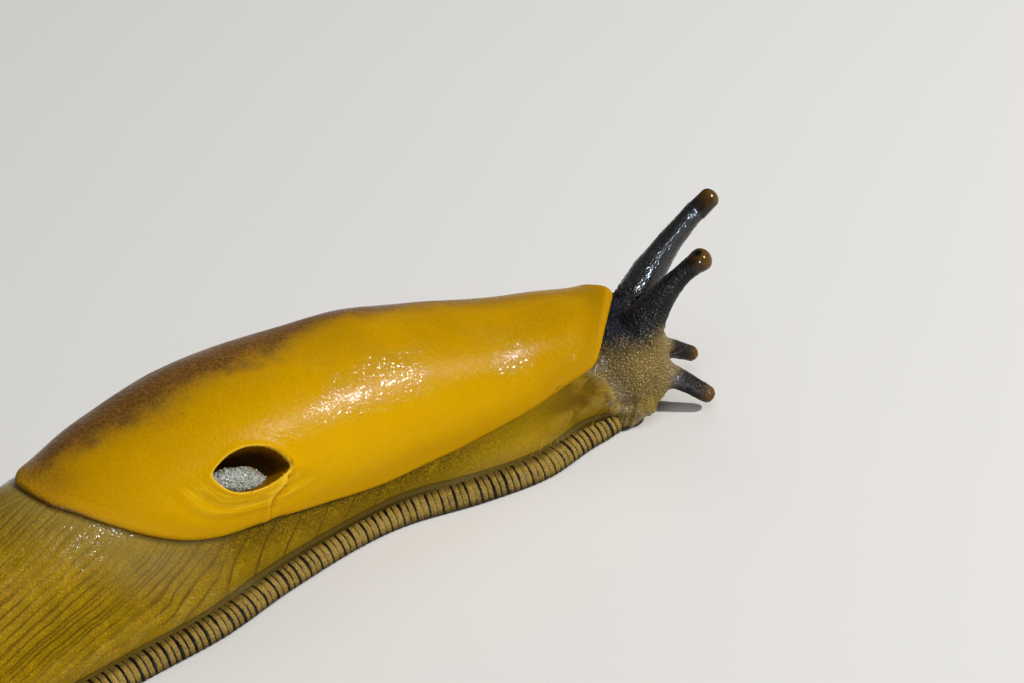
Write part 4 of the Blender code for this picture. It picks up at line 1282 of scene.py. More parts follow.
def head_material(settings):
    """Near-black above to tan below, in small rounded cells parted by a dark net, each cell with painted
    highlight on its upper side and painted shade below, and painted shade in the creases.
    """
    material, tree, shader, place = new_material("head_skin", gloss=0.2)
    cells = skin_cells(place, settings.cell_size)
    lighting = cells["Brow"]
    dark, lip, feeler, lower, sheen = read_marks(tree, "darkness", "lip", "feeler", "lower_feeler", "sheen")
    top = layers(tint(reach(dark, 0.0, 0.5), settings.cheek_colour, settings.mid_colour),
                 (reach(dark, 0.35, 0.95), settings.crown_colour))
    net = tint(reach(dark, 0.0, 0.8), settings.net_colour, settings.dark_colour)
    dome = times(reach(cells["Height"], 0.05, 0.85), reach(cells["Tone"], 0.0, 1.0, 0.7, 1.0))
    # Painted highlight on each cell's side towards the painted light
    shine = times(reach(lighting, 0.12, 0.34), reach(cells["Height"], 0.2, 0.6), reach(dark, 0.7, 1.0, 0.5, 0.12),
                  reach(feeler, 0.2, 0.6, 1.0, 0.15), reach(lower, 0.2, 0.45, 1.0, 0.1))
    fold = tint(reach(cells["Height"], 0.0, 0.6, 0.4, 0.0), settings.lip_colour, settings.net_colour)
    shade = layers(
        tint(dome, net, top),
        # Painted shade on each cell's side away from the painted light
        (reach(lighting, 0.1, -0.35, 0.0, 0.6), net),
        (shine, settings.shine_colour),
        (times(lip, 0.9), fold),
        # Painted shade in the mouth's slot and in the lip's folds and ribs
        (times(mark(tree, "crease"), 0.7), settings.net_colour),
        (times(mark(tree, "nape"), dome), settings.nape_colour),
        (reach(lower, 0.22, 0.45, 0.0, 0.95), settings.purple_colour),
        (reach(lower, 0.72, 0.92), settings.tip_colour))
    smooth = calc("MINIMUM", reach(feeler, 0.25, 0.8, 1.0, 0.45), reach(lower, 0.2, 0.5, 1.0, 0.3))
    height = plus(times(cells["Height"], smooth), times(grain(place, 0.00012)["Height"], 0.25))
    finish(shader, shade, wet(place, 0.3, 0.44, 0.002), bump(height, 0.00011))
    patch = noise(place, 420.0, 2.0)[0]
    film = times(reach(patch, 0.46, 0.6), reach(dark, 0.6, 0.2, 0.12, 0.8))
    root = times(reach(lower, 0.02, 0.12), reach(lower, 0.5, 0.25, 0.05, 1.0))
    root = most(root, times(reach(lip, 0.3, 0.9), reach(patch, 0.5, 0.6), 0.8))
    film = most(film, most(sheen, root))
    rise = reach(sheen, 0.2, 0.8, 1.0, 0.32)
    slime(shader, film, bump(times(cells["Height"], rise), 0.00006), 0.1, 1.5)
    flesh(shader, 0.1, 0.0005, 1.0, 0.7, 0.4)
    return material


# ---- Foot ----

def foot_half(behind):
    half = station(2, behind)
    return half * (0.94 + 0.06 * ramp(behind, 5.1, 8.1))


def bar_mesh():
    """One bar of the foot's edge: 1 mm along the foot, its outer side at 0, inwards +Y."""
    outline = ((0.32, 0.02), (0.08, 0.16), (0.0, 0.45), (0.06, 0.85), (0.3, 1.26), (0.72, 1.56), (1.25, 1.76),
               (1.72, 1.72), (2.2, 1.3), (2.2, 0.05))
    along = np.array((-0.49, -0.42, -0.26, 0.26, 0.42, 0.49))
    sink = np.array((0.15, 0.055, 0.0, 0.0, 0.055, 0.15))
    rings = []
    ends = []
    for x, s in zip(along, sink):
        rings.append([(x, y + s * (1.0 if y < 1.0 else 0.2), max(z - s * (0.8 if z > 0.3 else 0.0), 0.03))
                      for y, z in outline])
        ends += [x / 0.49] * len(outline)
    points, faces = tube([np.array(ring) for ring in rings])
    return finish_mesh("fringe_bar", points, faces, {"bar_end": ends})


def geometry_group(name, inputs):
    """A new Geometry Nodes tree with named inputs: the inputs' sockets, and its output node."""
    tree = bpy.data.node_groups.new(name, "GeometryNodeTree")
    for label, kind in {"Geometry": "Geometry", **inputs, "Finish": "Material"}.items():
        tree.interface.new_socket(name=label, in_out="INPUT", socket_type="NodeSocket" + kind)
    tree.interface.new_socket(name="Geometry", in_out="OUTPUT", socket_type="NodeSocketGeometry")
    return tree.nodes.new("NodeGroupInput").outputs, tree.nodes.new("NodeGroupOutput")


def end_tree(out, geometry, material):
    """Ends a tree in real geometry with its material."""
    real = put(out.id_data, "GeometryNodeRealizeInstances", Geometry=geometry)
    dressed = put(out.id_data, "GeometryNodeSetMaterial", Geometry=real.outputs[0], Material=material)
    feed(out, Geometry=dressed.outputs[0])
    return out.id_data


def bar_tree():
    """Sets a bar on each point of a path, turned and sized by the point's marks."""
    given, out = geometry_group("Bars Along Foot", {"Bar": "Object", "Bar Size": "Float"})
    tree = out.id_data
    shape = put(tree, "GeometryNodeObjectInfo", Object=given["Bar"])
    turn = put(tree, "GeometryNodeInputNamedAttribute", {"data_type": "FLOAT_VECTOR"}, Name="turn")
    size = put(tree, "GeometryNodeInputNamedAttribute", {"data_type": "FLOAT_VECTOR"}, Name="size")
    whole = put(tree, "ShaderNodeVectorMath", {"operation": "SCALE"}, _0=size.outputs[0],
                Scale=given["Bar Size"])
    set_out = put(tree, "GeometryNodeInstanceOnPoints", Points=given["Geometry"],
                  Instance=shape.outputs["Geometry"], Rotation=turn.outputs[0], Scale=whole.outputs[0])
    return end_tree(out, set_out.outputs[0], given["Finish"])


def worked_out(thing, tree, values):
    """What a Geometry Nodes tree makes of an object, as a plain mesh. The object goes."""
    modifier = thing.modifiers.new(tree.name, "NODES")
    modifier.node_group = tree
    for item in tree.interface.items_tree:
        if item.item_type == "SOCKET" and item.in_out == "INPUT" and item.name in values:
            modifier[item.identifier] = values[item.name]
    made = made_flat(thing)
    made.shade_smooth()
    bpy.data.objects.remove(thing)
    return made


def bar_path():
    """Where the bars stand on both sides: distance behind, side, pitch, and 1 for each second bar."""
    places = []
    for side in (-1, 1):
        behind = 5.7
        number = 0
        while behind < LENGTH - 0.4:
            pitch = float(np.interp(behind, (5, 12, 25, 140, LENGTH), (0.6, 0.64, 0.68, 0.68, 0.5)))
            places.append((behind, side, pitch, number % 2))
            behind += pitch
            number += 1
    return places


def make_bars(settings):
    places = bar_path()
    points = []
    turns = []
    sizes = []
    for behind, side, pitch, odd in places:
        x, y = on_floor(behind, foot_half(behind) * side - 0.02 * side)
        ahead = np.array(on_floor(behind - 0.3, foot_half(behind - 0.3) * side))
        after = np.array(on_floor(behind + 0.3, foot_half(behind + 0.3) * side))
        way = ahead - after
        heading = math.atan2(way[1], way[0])
        points.append((x, y, 0.0))
        turns.append((0.0, 0.0, heading if side < 0 else heading + math.pi))
        narrow = min(1.0, (foot_half(behind) - 0.1) / FRINGE_WIDE)
        sizes.append((pitch * 1.02, narrow, 1.0))
    mesh = bpy.data.meshes.new("foot_edge")
    mesh.from_pydata((np.array(points) * MM).tolist(), [], [])
    for name, values in (("turn", turns), ("size", sizes)):
        layer = mesh.attributes.new(name, "FLOAT_VECTOR", "POINT")
        layer.data.foreach_set("vector", np.array(values, np.float32).ravel())
    layer = mesh.attributes.new("odd_bar", "FLOAT", "POINT")
    layer.data.foreach_set("value", [float(place[3]) for place in places])
    path = show("foot_edge", mesh)
    bar = show("fringe_bar", bar_mesh())
    made = worked_out(path, bar_tree(), {"Bar": bar, "Bar Size": settings.bar_size,
                                         "Finish": fringe_material(settings)})
    bpy.data.objects.remove(bar)
    fringe = show("foot_fringe", made)
    declare(fringe, "fringe_skin", "fringe_front_right", "fringe_front_left", "fringe_rear_right",
            "fringe_rear_left")


def make_sole(settings):
    """The sole from edge to edge, with the dark bed that the bars stand in."""
    rows = np.concatenate([np.arange(5.15, 8.0, 0.3), np.arange(8.0, LENGTH - 0.5, 1.0), [LENGTH - 0.3]])
    rings = []
    marks = []
    for behind in rows:
        half = foot_half(behind)
        inset = min(1.0, half / 3.2)
        right = [(-(half - inset_mm * inset - 0.12), up) for inset_mm, up in ((0.28, 0.06), (0.1, 0.5),
                 (0.35, 0.9), (1.2, 1.08), (2.6, 1.15))]
        top = right + [(0.0, 1.15)] + [(-left, up) for left, up in right[::-1]]
        bottom = [(half - 0.9 * inset, 0.02), (half - 2.0 * inset, 0.0), (0.0, 0.0),
                  (-(half - 2.0 * inset), 0.0), (-(half - 0.9 * inset), 0.02)]
        ring = np.array(top + bottom)
        x, y = on_floor(np.full(len(ring), behind), ring[:, 0])
        rings.append(np.stack([x, y, ring[:, 1]], axis=1))
        marks += [1.0] * 4 + [0.0] * 3 + [1.0] * 4 + [0.6, 0.0, 0.0, 0.0, 0.6]
    points, faces = tube(rings)
    sole = show("foot_sole", finish_mesh("foot_sole", points, faces, {"bed": marks}), sole_material(settings))
    declare(sole, "sole_skin", "sole_front", "sole_rear")


def fringe_material(settings):
    """Khaki bars with a dark line at each end, wide and narrow by turns, and painted shade towards their
    bottom.
    """
    material, tree, shader, place = new_material("fringe_skin", gloss=0.15)
    specks = grain(place, 0.00016)
    end, odd = read_marks(tree, "bar_end", "odd_bar")
    wide = reach(times(end, reach(odd, 0.49, 0.51, -1.0, 1.0)), -0.1, 0.1)
    size = plus(calc("ABSOLUTE", end), reach(specks["Cloud"], 0.0, 1.0, -0.13, 0.13))
    line = most(reach(size, 0.7, 0.9, 0.0, 0.9), times(reach(size, 0.44, 0.66), wide))
    up = put(tree, "ShaderNodeSeparateXYZ", Vector=place).outputs[2]
    shade = layers(
        tint(specks["Cloud"], settings.bar_colour, settings.bar_shade),
        (times(specks["Speck"], 0.6), settings.bar_light),
        (line, settings.gap_and_shade_colour),
        (reach(up, 0.00155, 0.00177, 0.0, 0.6), settings.gap_and_shade_colour),
        # Painted shade towards the bars' bottom, where they turn under
        (reach(up, 0.0009, 0.0001, 0.0, 0.8), settings.gap_and_shade_colour))
    finish(shader, shade, wet(place, 0.36, 0.5, 0.003), bump(specks["Height"], 0.00006, 0.9))
    flesh(shader, 0.1, 0.0005, 1.0, 0.7, 0.3)
    return material


def sole_material(settings):
    """Pale sole with soft ripples across, and the dark bed of the bars."""
    material, tree, shader, place = new_material("sole_skin", gloss=0.15)
    specks = grain(place, 0.0005)
    ripple = put(tree, "ShaderNodeTexWave", {"bands_direction": "X", "wave_profile": "SIN"}, Vector=place,
                 Scale=38.0, Distortion=2.5, Detail=2.0).outputs["Fac"]
    shade = layers(
        tint(specks["Cloud"], settings.sole_colour, settings.bar_colour),
        (times(ripple, 0.3), settings.bar_shade),
        (mark(tree, "bed"), settings.gap_and_shade_colour))
    finish(shader, shade, wet(place, 0.2, 0.42, 0.008), bump(plus(specks["Height"], ripple), 0.00008, 0.6))
    flesh(shader, 0.1, 0.001, 1.0, 0.7, 0.3)
    return material


# ---- Eyes and froth ----

# How far along its feeler a bulb's round end begins, and its sides
BULB_END = 0.94
BULB_SIDES = 40
# Bubbles tried for each square metre, far more than their spacing lets stand
DENSEST = 2.0e8
# The froth in the hole's own frame: middle, half sizes, rings and turns of its patch
FROTH_MIDDLE = (0.45, 0.95)
FROTH_HALF = (3.4, 1.3)
FROTH_RINGS = 14
FROTH_TURNS = 40


def make_eye(side, material):
    """The bulb at an upper feeler's end, which holds the eye."""
    feeler = UPPER_FEELERS[side]
    start = EYE_SHARE - 0.01
    neck = feeler_radius(feeler, start)
    bulge = feeler[3][-1] * EYE_BULGE
    rows = [(start, neck * 0.9, 0.0), (start + 0.008, neck * 0.99, 0.0)]
    for t in np.linspace(start + 0.015, BULB_END, 9):
        rows.append((t, neck + (bulge - neck) * ramp(t, start, 0.925), 0.0))
    for angle in np.linspace(0.0, math.pi / 2.0, 14)[1:-1]:
        rows.append((BULB_END, bulge * math.cos(angle), bulge * 0.82 * math.sin(angle)))
    points, faces = tube([feeler_ring(feeler, *row, sides=BULB_SIDES) for row in rows])
    along, across, over = feeler_frame(feeler, BULB_END)
    inward = 0.37 if side == "right" else -0.37
    spot = feeler_point(feeler, BULB_END) + (along * 0.37 + over * 0.88 + across * inward) * bulge
    gap = np.linalg.norm(points - head_straight(*spot), axis=1)
    reached = np.repeat(np.linspace(0.0, 1.0, len(rows)), BULB_SIDES)
    mesh = finish_mesh(f"eye_{side}", points, faces, {"eye_gap": gap, "bulb": reached})
    eye = show(f"eye_{side}_bulb", mesh, material)
    declare(eye, "eye", f"eye_{side}")


def eye_material(settings):
    """Clear brown skin over a black eye spot, darker where it joins the feeler."""
    material, tree, shader, place = new_material("eye", 0.12)
    specks = grain(place, 0.00012)
    clear = plus(mark(tree, "bulb"), reach(specks["Cloud"], 0.0, 1.0, -0.06, 0.06))
    size = settings.spot_size / MM
    shade = layers(
        tint(reach(clear, 0.15, 0.6), settings.stalk_colour, settings.bulb_colour),
        (times(specks["Speck"], 0.2), settings.stalk_colour),
        (reach(mark(tree, "eye_gap"), size * 1.7, size * 0.75), settings.spot_colour))
    finish(shader, shade, wet(place, 0.07, 0.14, 0.001), bump(specks["Height"], 0.00001, 0.5))
    flesh(shader, 0.35, 0.0006, 1.0, 0.4, 0.15)
    return material


def froth_tree():
    """Strews bubbles of mixed size over a patch, with a fixed seed."""
    given, out = geometry_group("Froth Bubbles", {"Bubble Spacing": "Float", "Smallest": "Float",
                                                  "Largest": "Float", "Seed": "Int"})
    tree = out.id_data
    strewn = put(tree, "GeometryNodeDistributePointsOnFaces", {"distribute_method": "POISSON"},
                 Mesh=given["Geometry"], Density_Max=DENSEST, Seed=given["Seed"],
                 Distance_Min=given["Bubble Spacing"])
    ball = put(tree, "GeometryNodeMeshIcoSphere", Radius=1.0, Subdivisions=1)
    size = put(tree, "FunctionNodeRandomValue", {"data_type": "FLOAT"}, _2=given["Smallest"],
               _3=given["Largest"], Seed=given["Seed"])
    set_out = put(tree, "GeometryNodeInstanceOnPoints", Points=strewn.outputs["Points"],
                  Instance=ball.outputs["Mesh"], Scale=size.outputs[1])
    both = put(tree, "GeometryNodeJoinGeometry")
    for geometry in (set_out.outputs[0], given["Geometry"]):
        tree.links.new(geometry, both.inputs[0])
    return end_tree(out, both.outputs[0], given["Finish"])


def make_froth(settings):
    """Bubbles and slime that lie in the lower rear part of the breathing hole."""
    radius, angle = np.meshgrid(np.linspace(0.0, 1.0, FROTH_RINGS),
                                np.linspace(0.0, 2.0 * math.pi, FROTH_TURNS + 1)[:-1], indexing="ij")
    along = FROTH_MIDDLE[0] + radius * np.cos(angle) * FROTH_HALF[0]
    high = FROTH_MIDDLE[1] + radius * np.sin(angle) * FROTH_HALF[1] - 0.45 * radius * np.cos(angle)
    behind = HOLE_AT[0] + along * math.cos(HOLE_TILT) + high * math.sin(HOLE_TILT)
    down = HOLE_AT[1] - along * math.sin(HOLE_TILT) + high * math.cos(HOLE_TILT)
    lift = MANTLE_LIFT - 2.2 + 1.25 * np.sqrt(np.clip(1.0 - radius ** 2, 0.0, 1.0))
    lift = lift + 0.35 * np.cos(angle) * radius
    flat = on_skin(behind.ravel(), -(down / side_length(behind)).ravel(), lift.ravel())
    flat[:, 2] += 0.3 * waves(flat, 1.0, 31) + 0.15 * waves(flat, 0.4, 32)
    faces = grid_faces(FROTH_RINGS, FROTH_TURNS, closed=True)
    patch = finish_mesh("froth_patch", flat, faces, turn_out=False)
    made = worked_out(show("froth_patch", patch), froth_tree(), {
        "Bubble Spacing": settings.bubble_spacing, "Smallest": settings.bubble_smallest,
        "Largest": settings.bubble_largest, "Seed": settings.seed, "Finish": froth_material(settings)})
    froth = show("breathing_hole_froth", made)
    declare(froth, "mantle_skin")


def froth_material(settings):
    """Grey-white bubbles in a greener slime."""
    material, _, shader, place = new_material("froth", 0.08, 0.7)
    specks = grain(place, 0.00016)
    shade = layers(
        tint(reach(specks["Cloud"], 0.3, 0.7), settings.froth_colour, settings.froth_shade),
        (times(specks["Speck"], 0.6), settings.froth_light))
    finish(shader, shade, wet(place, 0.06, 0.16, 0.0008), bump(specks["Height"], 0.00003, 0.7))
    flesh(shader, 0.2, 0.0005, 1.0, 1.0, 0.9)
    return material


# ---- Stage ----

FLOOR_HALF = 1.5
# Lights: turn and height in degrees, distance and size in metres, tone, whether they glint,
# whether they light the colours
LIGHTS = {
    "key": (44.0, 41.0, 0.6, 0.04, (1.0, 0.98, 0.95), True, True),
    "fill": (-20.0, 70.0, 0.7, 0.6, (1.0, 1.0, 1.0), False, True),
    "back": (150.0, 45.0, 0.7, 0.4, (1.0, 1.0, 1.0), False, True),
    "glint": (-47.0, 10.0, 0.6, 0.03, (0.74, 0.85, 1.0), True, False),
}
LIGHTS_AIM = (0.01, 0.0, 0.01)
# The camera: turn, height and roll in degrees, distance in millimetres, the point it aims at
# from the snout, and its focal length as a share of the picture's 1024 columns
VIEW_TURN = -34.0
VIEW_HEIGHT = 31.0
VIEW_ROLL = 6.0
VIEW_DISTANCE = 300.0
VIEW_AIM = (-11.0, 8.9, 6.0)
VIEW_FOCAL = 3450.0 / 1024.0


def direction(turn, height):
    """The way to something that stands at a turn and height in degrees."""
    a = math.radians(turn)
    e = math.radians(height)
    return Vector((math.sin(a) * math.cos(e), -math.cos(a) * math.cos(e), math.sin(e)))


def make_floor(settings):
    mesh = bpy.data.meshes.new("floor")
    corners = ((-1, -1), (1, -1), (1, 1), (-1, 1))
    mesh.from_pydata([(x * FLOOR_HALF, y * FLOOR_HALF, 0.0) for x, y in corners], [], [(0, 1, 2, 3)])
    material, _, shader, place = new_material("pale_floor", 0.8, 0.0)
    floor_shade = [value * 0.96 for value in settings.floor_colour[:3]]
    shade = tint(noise(place, 9.0, 4.0)[0], settings.floor_colour, floor_shade)
    feed(shader, Base_Color=shade)
    show("floor", mesh, material)


def make_light(name, power):
    turn, height, distance, size, tone, glints, shades = LIGHTS[name]
    data = bpy.data.lights.new(name, "AREA")
    data.shape = "DISK"
    data.size = size
    data.energy = power
    data.color = tone
    light = bpy.data.objects.new(name, data)
    way = direction(turn, height)
    light.location = way * distance + Vector(LIGHTS_AIM)
    light.rotation_euler = way.to_track_quat("Z", "Y").to_euler()
    light.visible_glossy = glints
    light.visible_diffuse = shades
    bpy.context.scene.collection.objects.link(light)


def make_camera():
    """Camera at the photograph's view, worked out for a picture of 1024 by 683."""
    turn = math.radians(VIEW_TURN)
    roll = math.radians(VIEW_ROLL)
    back = direction(VIEW_TURN, VIEW_HEIGHT)
    snout_x, snout_y = on_floor(0.0, 0.0)
    target = Vector((float(snout_x) + VIEW_AIM[0], float(snout_y) + VIEW_AIM[1], VIEW_AIM[2])) * MM
    right = Vector((math.cos(turn), math.sin(turn), 0.0))
    up = back.cross(right)
    data = bpy.data.cameras.new("photo_view")
    data.sensor_fit = "HORIZONTAL"
    data.sensor_width = 36.0
    data.lens = VIEW_FOCAL * data.sensor_width
    data.clip_start = 0.01
    data.clip_end = 20.0
    camera = bpy.data.objects.new("photo_view", data)
    bpy.context.scene.collection.objects.link(camera)
    axes = (right * math.cos(roll) - up * math.sin(roll), right * math.sin(roll) + up * math.cos(roll), back,
            target + back * VIEW_DISTANCE * MM)
    camera.matrix_world = Matrix((*zip(*axes), (0.0, 0.0, 0.0, 1.0)))
    bpy.context.scene.camera = camera


def make_world(settings):
    world = bpy.data.worlds.new("studio")
    world.use_nodes = True
    background = world.node_tree.nodes["Background"]
    background.inputs["Color"].default_value = (0.9, 0.94, 1.0, 1.0)
    background.inputs["Strength"].default_value = settings.ambient
    bpy.context.scene.world = world


# ---- Settings ----

def colour_property(name, default, description):
    return FloatVectorProperty(name=name, description=description, default=default, size=3, min=0.0, max=1.0,
                               subtype="COLOR")


def length_property(name, default, description):
    return FloatProperty(name=name, description=description, default=default, min=0.0, unit="LENGTH",
                         subtype="DISTANCE", precision=5)


def power_property(name, default, description):
    return FloatProperty(name=name, description=description, default=default, min=0.0, unit="POWER")


class SlugSkinSettings(bpy.types.PropertyGroup):
    """Sizes and colours of the body's and head's skin."""
    groove_depth: length_property("Groove Depth", 0.00014, "Depth of the grooves behind the mantle")
    side_colour: colour_property("Side", (0.275, 0.155, 0.0), "The flanks behind the mantle")
    top_colour: colour_property("Back", (0.165, 0.092, 0.008), "The back behind the mantle")
    olive_colour: colour_property("Olive", (0.19, 0.118, 0.0), "Darker clouds in the side")
    front_colour: colour_property("Front Side", (0.36, 0.215, 0.0), "The side under the mantle's front")
    # Olive skin just below the mantle, darkened by painted shadow of the mantle
    under_mantle_shadow_colour: colour_property("Under Mantle", (0.092, 0.054, 0.0), "Darker skin just below the mantle")
    collar_colour: colour_property("Collar", (0.12, 0.062, 0.001), "Deep amber skin beside the head")
    amber_colour: colour_property("Amber", (0.30, 0.175, 0.002), "Lighter amber beside the head")
    thread_colour: colour_property("Slime Thread", (0.55, 0.36, 0.03), "Thin threads of slime by the head")
    grain_colour: colour_property("Grain", (0.55, 0.345, 0.003), "Golden granules in the skin")
    # Groove bottoms and dark lines low on the flank, and painted shadow along the mantle's edge
    groove_and_shadow_colour: colour_property("Groove", (0.055, 0.032, 0.001), "The bottom of the grooves")
    ashen_colour: colour_property("Below Mantle", (0.25, 0.185, 0.04), "Paler skin behind the mantle's edge")
    low_colour: colour_property("Low Side", (0.15, 0.092, 0.002), "The flank's lowest part")
    foot_band_colour: colour_property("Foot Band", (0.095, 0.065, 0.01), "Band just above the foot")
    pebble_size: length_property("Swelling Size", 0.00055, "Size of the head's swellings")
    pebble_height: length_property("Swelling Height", 0.0001, "Height of the head's swellings")
    cell_size: length_property("Cell Size", 0.00024, "Size of the fine cells in the head's skin")
    crown_colour: colour_property("Crown", (0.011, 0.0095, 0.009), "Cells of the darkest skin")
    nape_colour: colour_property("Nape", (0.02, 0.021, 0.05), "Blue sheen in front of the mantle")
    # Painted highlight on the lit upper side of each cell
    shine_colour: colour_property("Cell Brow", (0.5, 0.4, 0.2), "The upper side of each cell")
    dark_colour: colour_property("Dark Net", (0.006, 0.005, 0.005), "Between the dark cells")
    mid_colour: colour_property("Side of Head", (0.22, 0.145, 0.04), "Cells between dark and tan")
    cheek_colour: colour_property("Cheek", (0.41, 0.285, 0.08), "Cells of the cheek")
    net_colour: colour_property("Cheek Net", (0.17, 0.113, 0.028), "Between the cheek's cells")
    lip_colour: colour_property("Lip", (0.33, 0.23, 0.035), "The lip lobes")
    purple_colour: colour_property("Lower Feeler", (0.006, 0.004, 0.006), "Along the lower feelers")
    tip_colour: colour_property("Feeler Tip", (0.11, 0.05, 0.006), "Ends of the lower feelers")


class SlugMantleSettings(bpy.types.PropertyGroup):
    """Colours of the mantle and its breathing hole."""
    flank_colour: colour_property("Flank", (0.61, 0.328, 0.0), "Low on the mantle's sides")
    # Partly a browner back, partly painted shade on the mantle's top
    back_and_shade_colour: colour_property("Back", (0.35, 0.18, 0.0), "High on the mantle")
    deep_colour: colour_property("Clouds", (0.54, 0.275, 0.0), "Deeper clouds in the yellow")
    light_colour: colour_property("Grain", (0.86, 0.5, 0.0), "Light grain in the yellow")
    saddle_colour: colour_property("Saddle", (0.12, 0.05, 0.004), "Brown along the back")
    saddle_light: colour_property("Saddle Grain", (0.19, 0.09, 0.02), "Lighter grain in the brown")
    # Deeper orange at the rim, partly painted shade
    rim_and_shade_colour: colour_property("Rim", (0.44, 0.225, 0.0), "The rim's turn to the body")
    # Painted shadow where the rim meets the body
    contact_shadow_colour: colour_property("Contact", (0.09, 0.035, 0.002), "Where the rim meets the body")
    line_colour: colour_property("Fine Line", (0.90, 0.62, 0.03), "A pale line across the mantle")
    # Painted shade in the slit below the hole
    slit_shade_colour: colour_property("Slit", (0.30, 0.12, 0.001), "The slit below the hole")
    # Pale lip line and painted highlight on the hole's lip and on the slit's flap
    lip_colour: colour_property("Hole Lip", (0.90, 0.60, 0.04), "The hole's thin bright lip")
    lining_colour: colour_property("Lining", (0.17, 0.07, 0.001), "The hole's wall")
    # Painted shade deep in the hole
    hollow_shade_colour: colour_property("Hollow", (0.1, 0.052, 0.001), "Deep in the hole")


class SlugFootSettings(bpy.types.PropertyGroup):
    """Sizes and colours of the foot's edge and sole."""
    bar_size: FloatProperty(name="Bar Size", description="Size of the bars, 1 as measured", default=1.0,
                            min=0.5, max=1.0, subtype="FACTOR")
    bar_colour: colour_property("Bar", (0.265, 0.17, 0.03), "The bars of the foot's edge")
    bar_shade: colour_property("Bar Shade", (0.185, 0.115, 0.018), "Darker clouds in the bars")
    bar_light: colour_property("Bar Light", (0.42, 0.3, 0.07), "Pale specks in the bars")
    # Dark lines between the bars and the dark bed, and painted shade low on the bars
    gap_and_shade_colour: colour_property("Between Bars", (0.012, 0.007, 0.003), "The dark lines between bars")
    sole_colour: colour_property("Sole", (0.44, 0.35, 0.16), "The sole below")


class SlugEyeSettings(bpy.types.PropertyGroup):
    """Sizes and colours of the eye bulbs."""
    spot_size: length_property("Eye Spot", 0.00032, "Radius of the black eye spot")
    spot_colour: colour_property("Eye Spot Colour", (0.004, 0.003, 0.003), "The eye itself")
    bulb_colour: colour_property("Bulb", (0.095, 0.047, 0.004), "Clear brown skin round the eye")
    stalk_colour: colour_property("Stalk", (0.014, 0.009, 0.006), "Where the bulb joins its feeler")


class SlugFrothSettings(bpy.types.PropertyGroup):
    """The froth in the breathing hole."""
    bubble_spacing: length_property("Bubble Spacing", 0.00014, "Least distance between bubbles")
    bubble_smallest: length_property("Smallest Bubble", 0.00002, "Radius of the smallest bubble")
    bubble_largest: length_property("Largest Bubble", 0.00015, "Radius of the largest bubble")
    seed: IntProperty(name="Seed", description="Which way the bubbles fall", default=4, min=0)
    froth_colour: colour_property("Froth", (0.33, 0.36, 0.32), "Grey froth")
    froth_shade: colour_property("Froth Shade", (0.17, 0.14, 0.06), "Slime between the bubbles")
    froth_light: colour_property("Froth Light", (0.8, 0.85, 0.82), "The whitest bubbles")


class SlugStageSettings(bpy.types.PropertyGroup):
    """Floor and lights."""
    floor_colour: colour_property("Floor", (0.72, 0.71, 0.69), "The plain pale floor")
    ambient: FloatProperty(name="Ambient", description="Strength of the even light all round", default=0.16,
                           min=0.0)
    key_power: power_property("Key Light", 3.2, "Power of the main light")
    fill_power: power_property("Fill Light", 1.1, "Power of the soft light above")
    back_power: power_property("Back Light", 0.6, "Power of the soft light behind")
    glint_power: power_property("Glint Light", 9.0, "Power of the low light beside the camera")


# ---- Operators ----

class SLUG_OT_skin(bpy.types.Operator):
    """Makes the one skin of the body, head and feelers"""
    bl_idname = "slug.skin"
    bl_label = "Make Skin"

    def execute(self, context):
        make_skin(context.scene.slug_skin)
        return {"FINISHED"}


class SLUG_OT_mantle(bpy.types.Operator):
    """Makes the mantle with its breathing hole"""
    bl_idname = "slug.mantle"
    bl_label = "Make Mantle"

    def execute(self, context):
        make_mantle(context.scene.slug_mantle)
        return {"FINISHED"}


class SLUG_OT_foot(bpy.types.Operator):
    """Makes the sole and the bars of the foot's edge"""
    bl_idname = "slug.foot"
    bl_label = "Make Foot"

    def execute(self, context):
        make_sole(context.scene.slug_foot)
        make_bars(context.scene.slug_foot)
        return {"FINISHED"}


class SLUG_OT_eyes(bpy.types.Operator):
    """Makes the eye bulbs of both upper feelers"""
    bl_idname = "slug.eyes"
    bl_label = "Make Eyes"

    def execute(self, context):
        material = eye_material(context.scene.slug_eyes)
        for side in UPPER_FEELERS:
            make_eye(side, material)
        return {"FINISHED"}


class SLUG_OT_froth(bpy.types.Operator):
    """Strews froth in the breathing hole"""
    bl_idname = "slug.froth"
    bl_label = "Make Froth"

    def execute(self, context):
        make_froth(context.scene.slug_froth)
        return {"FINISHED"}


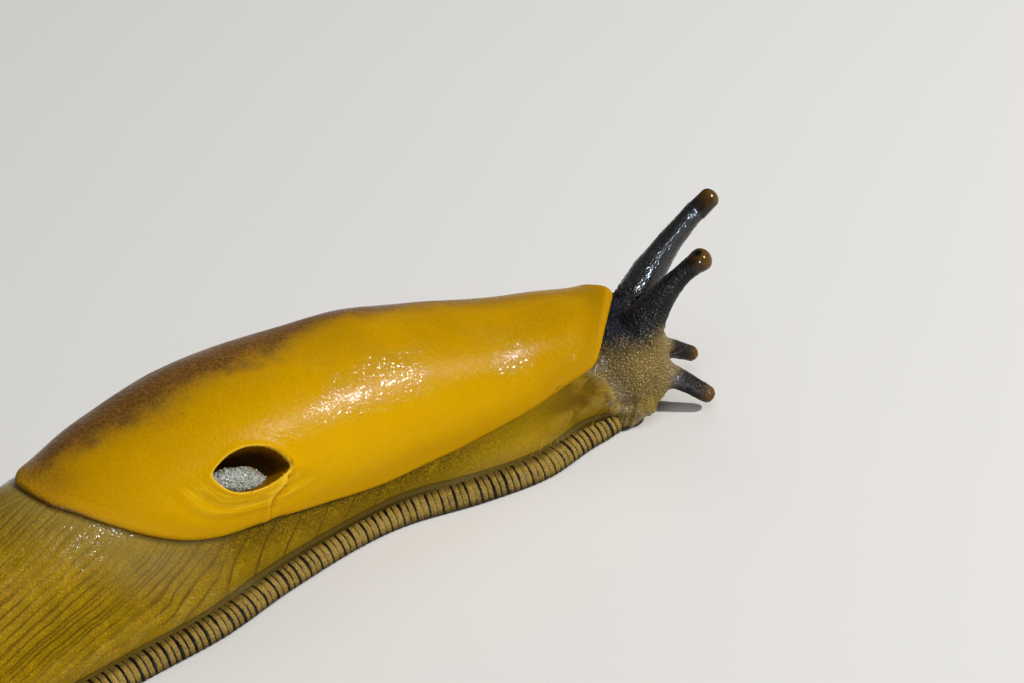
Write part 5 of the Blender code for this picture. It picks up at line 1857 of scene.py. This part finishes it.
class SLUG_OT_stage(bpy.types.Operator):
    """Makes the floor, lights and camera"""
    bl_idname = "slug.stage"
    bl_label = "Make Stage"

    def execute(self, context):
        settings = context.scene.slug_stage
        make_floor(settings)
        make_world(settings)
        powers = (settings.key_power, settings.fill_power, settings.back_power, settings.glint_power)
        for name, power in zip(LIGHTS, powers):
            make_light(name, power)
        make_camera()
        context.scene.view_settings.view_transform = "Standard"
        return {"FINISHED"}


class SLUG_PT_panel(bpy.types.Panel):
    """Lists the slug's makers and settings"""
    bl_idname = "SLUG_PT_panel"
    bl_label = "Banana Slug"
    bl_space_type = "VIEW_3D"
    bl_region_type = "UI"
    bl_category = "Slug"

    def draw(self, context):
        for settings, operator in MAKERS:
            box = self.layout.box()
            box.operator(operator)
            group = getattr(context.scene, settings)
            for name in group.__annotations__:
                box.prop(group, name)


MAKERS = (
    ("slug_skin", "slug.skin"),
    ("slug_mantle", "slug.mantle"),
    ("slug_foot", "slug.foot"),
    ("slug_eyes", "slug.eyes"),
    ("slug_froth", "slug.froth"),
    ("slug_stage", "slug.stage"),
)
GROUPS = (SlugSkinSettings, SlugMantleSettings, SlugFootSettings, SlugEyeSettings, SlugFrothSettings,
          SlugStageSettings)
CLASSES = (SLUG_OT_skin, SLUG_OT_mantle, SLUG_OT_foot, SLUG_OT_eyes, SLUG_OT_froth, SLUG_OT_stage,
           SLUG_PT_panel)


def register():
    for group, (settings, _) in zip(GROUPS, MAKERS):
        bpy.utils.register_class(group)
        setattr(bpy.types.Scene, settings, PointerProperty(type=group))
    for kind in CLASSES:
        bpy.utils.register_class(kind)


def unregister():
    for kind in reversed(CLASSES):
        bpy.utils.unregister_class(kind)
    for group, (settings, _) in zip(GROUPS, MAKERS):
        delattr(bpy.types.Scene, settings)
        bpy.utils.unregister_class(group)


def main():
    register()
    bpy.ops.slug.skin()
    bpy.ops.slug.mantle()
    bpy.ops.slug.foot()
    bpy.ops.slug.eyes()
    bpy.ops.slug.froth()
    bpy.ops.slug.stage()


if __name__ == "__main__":
    main()
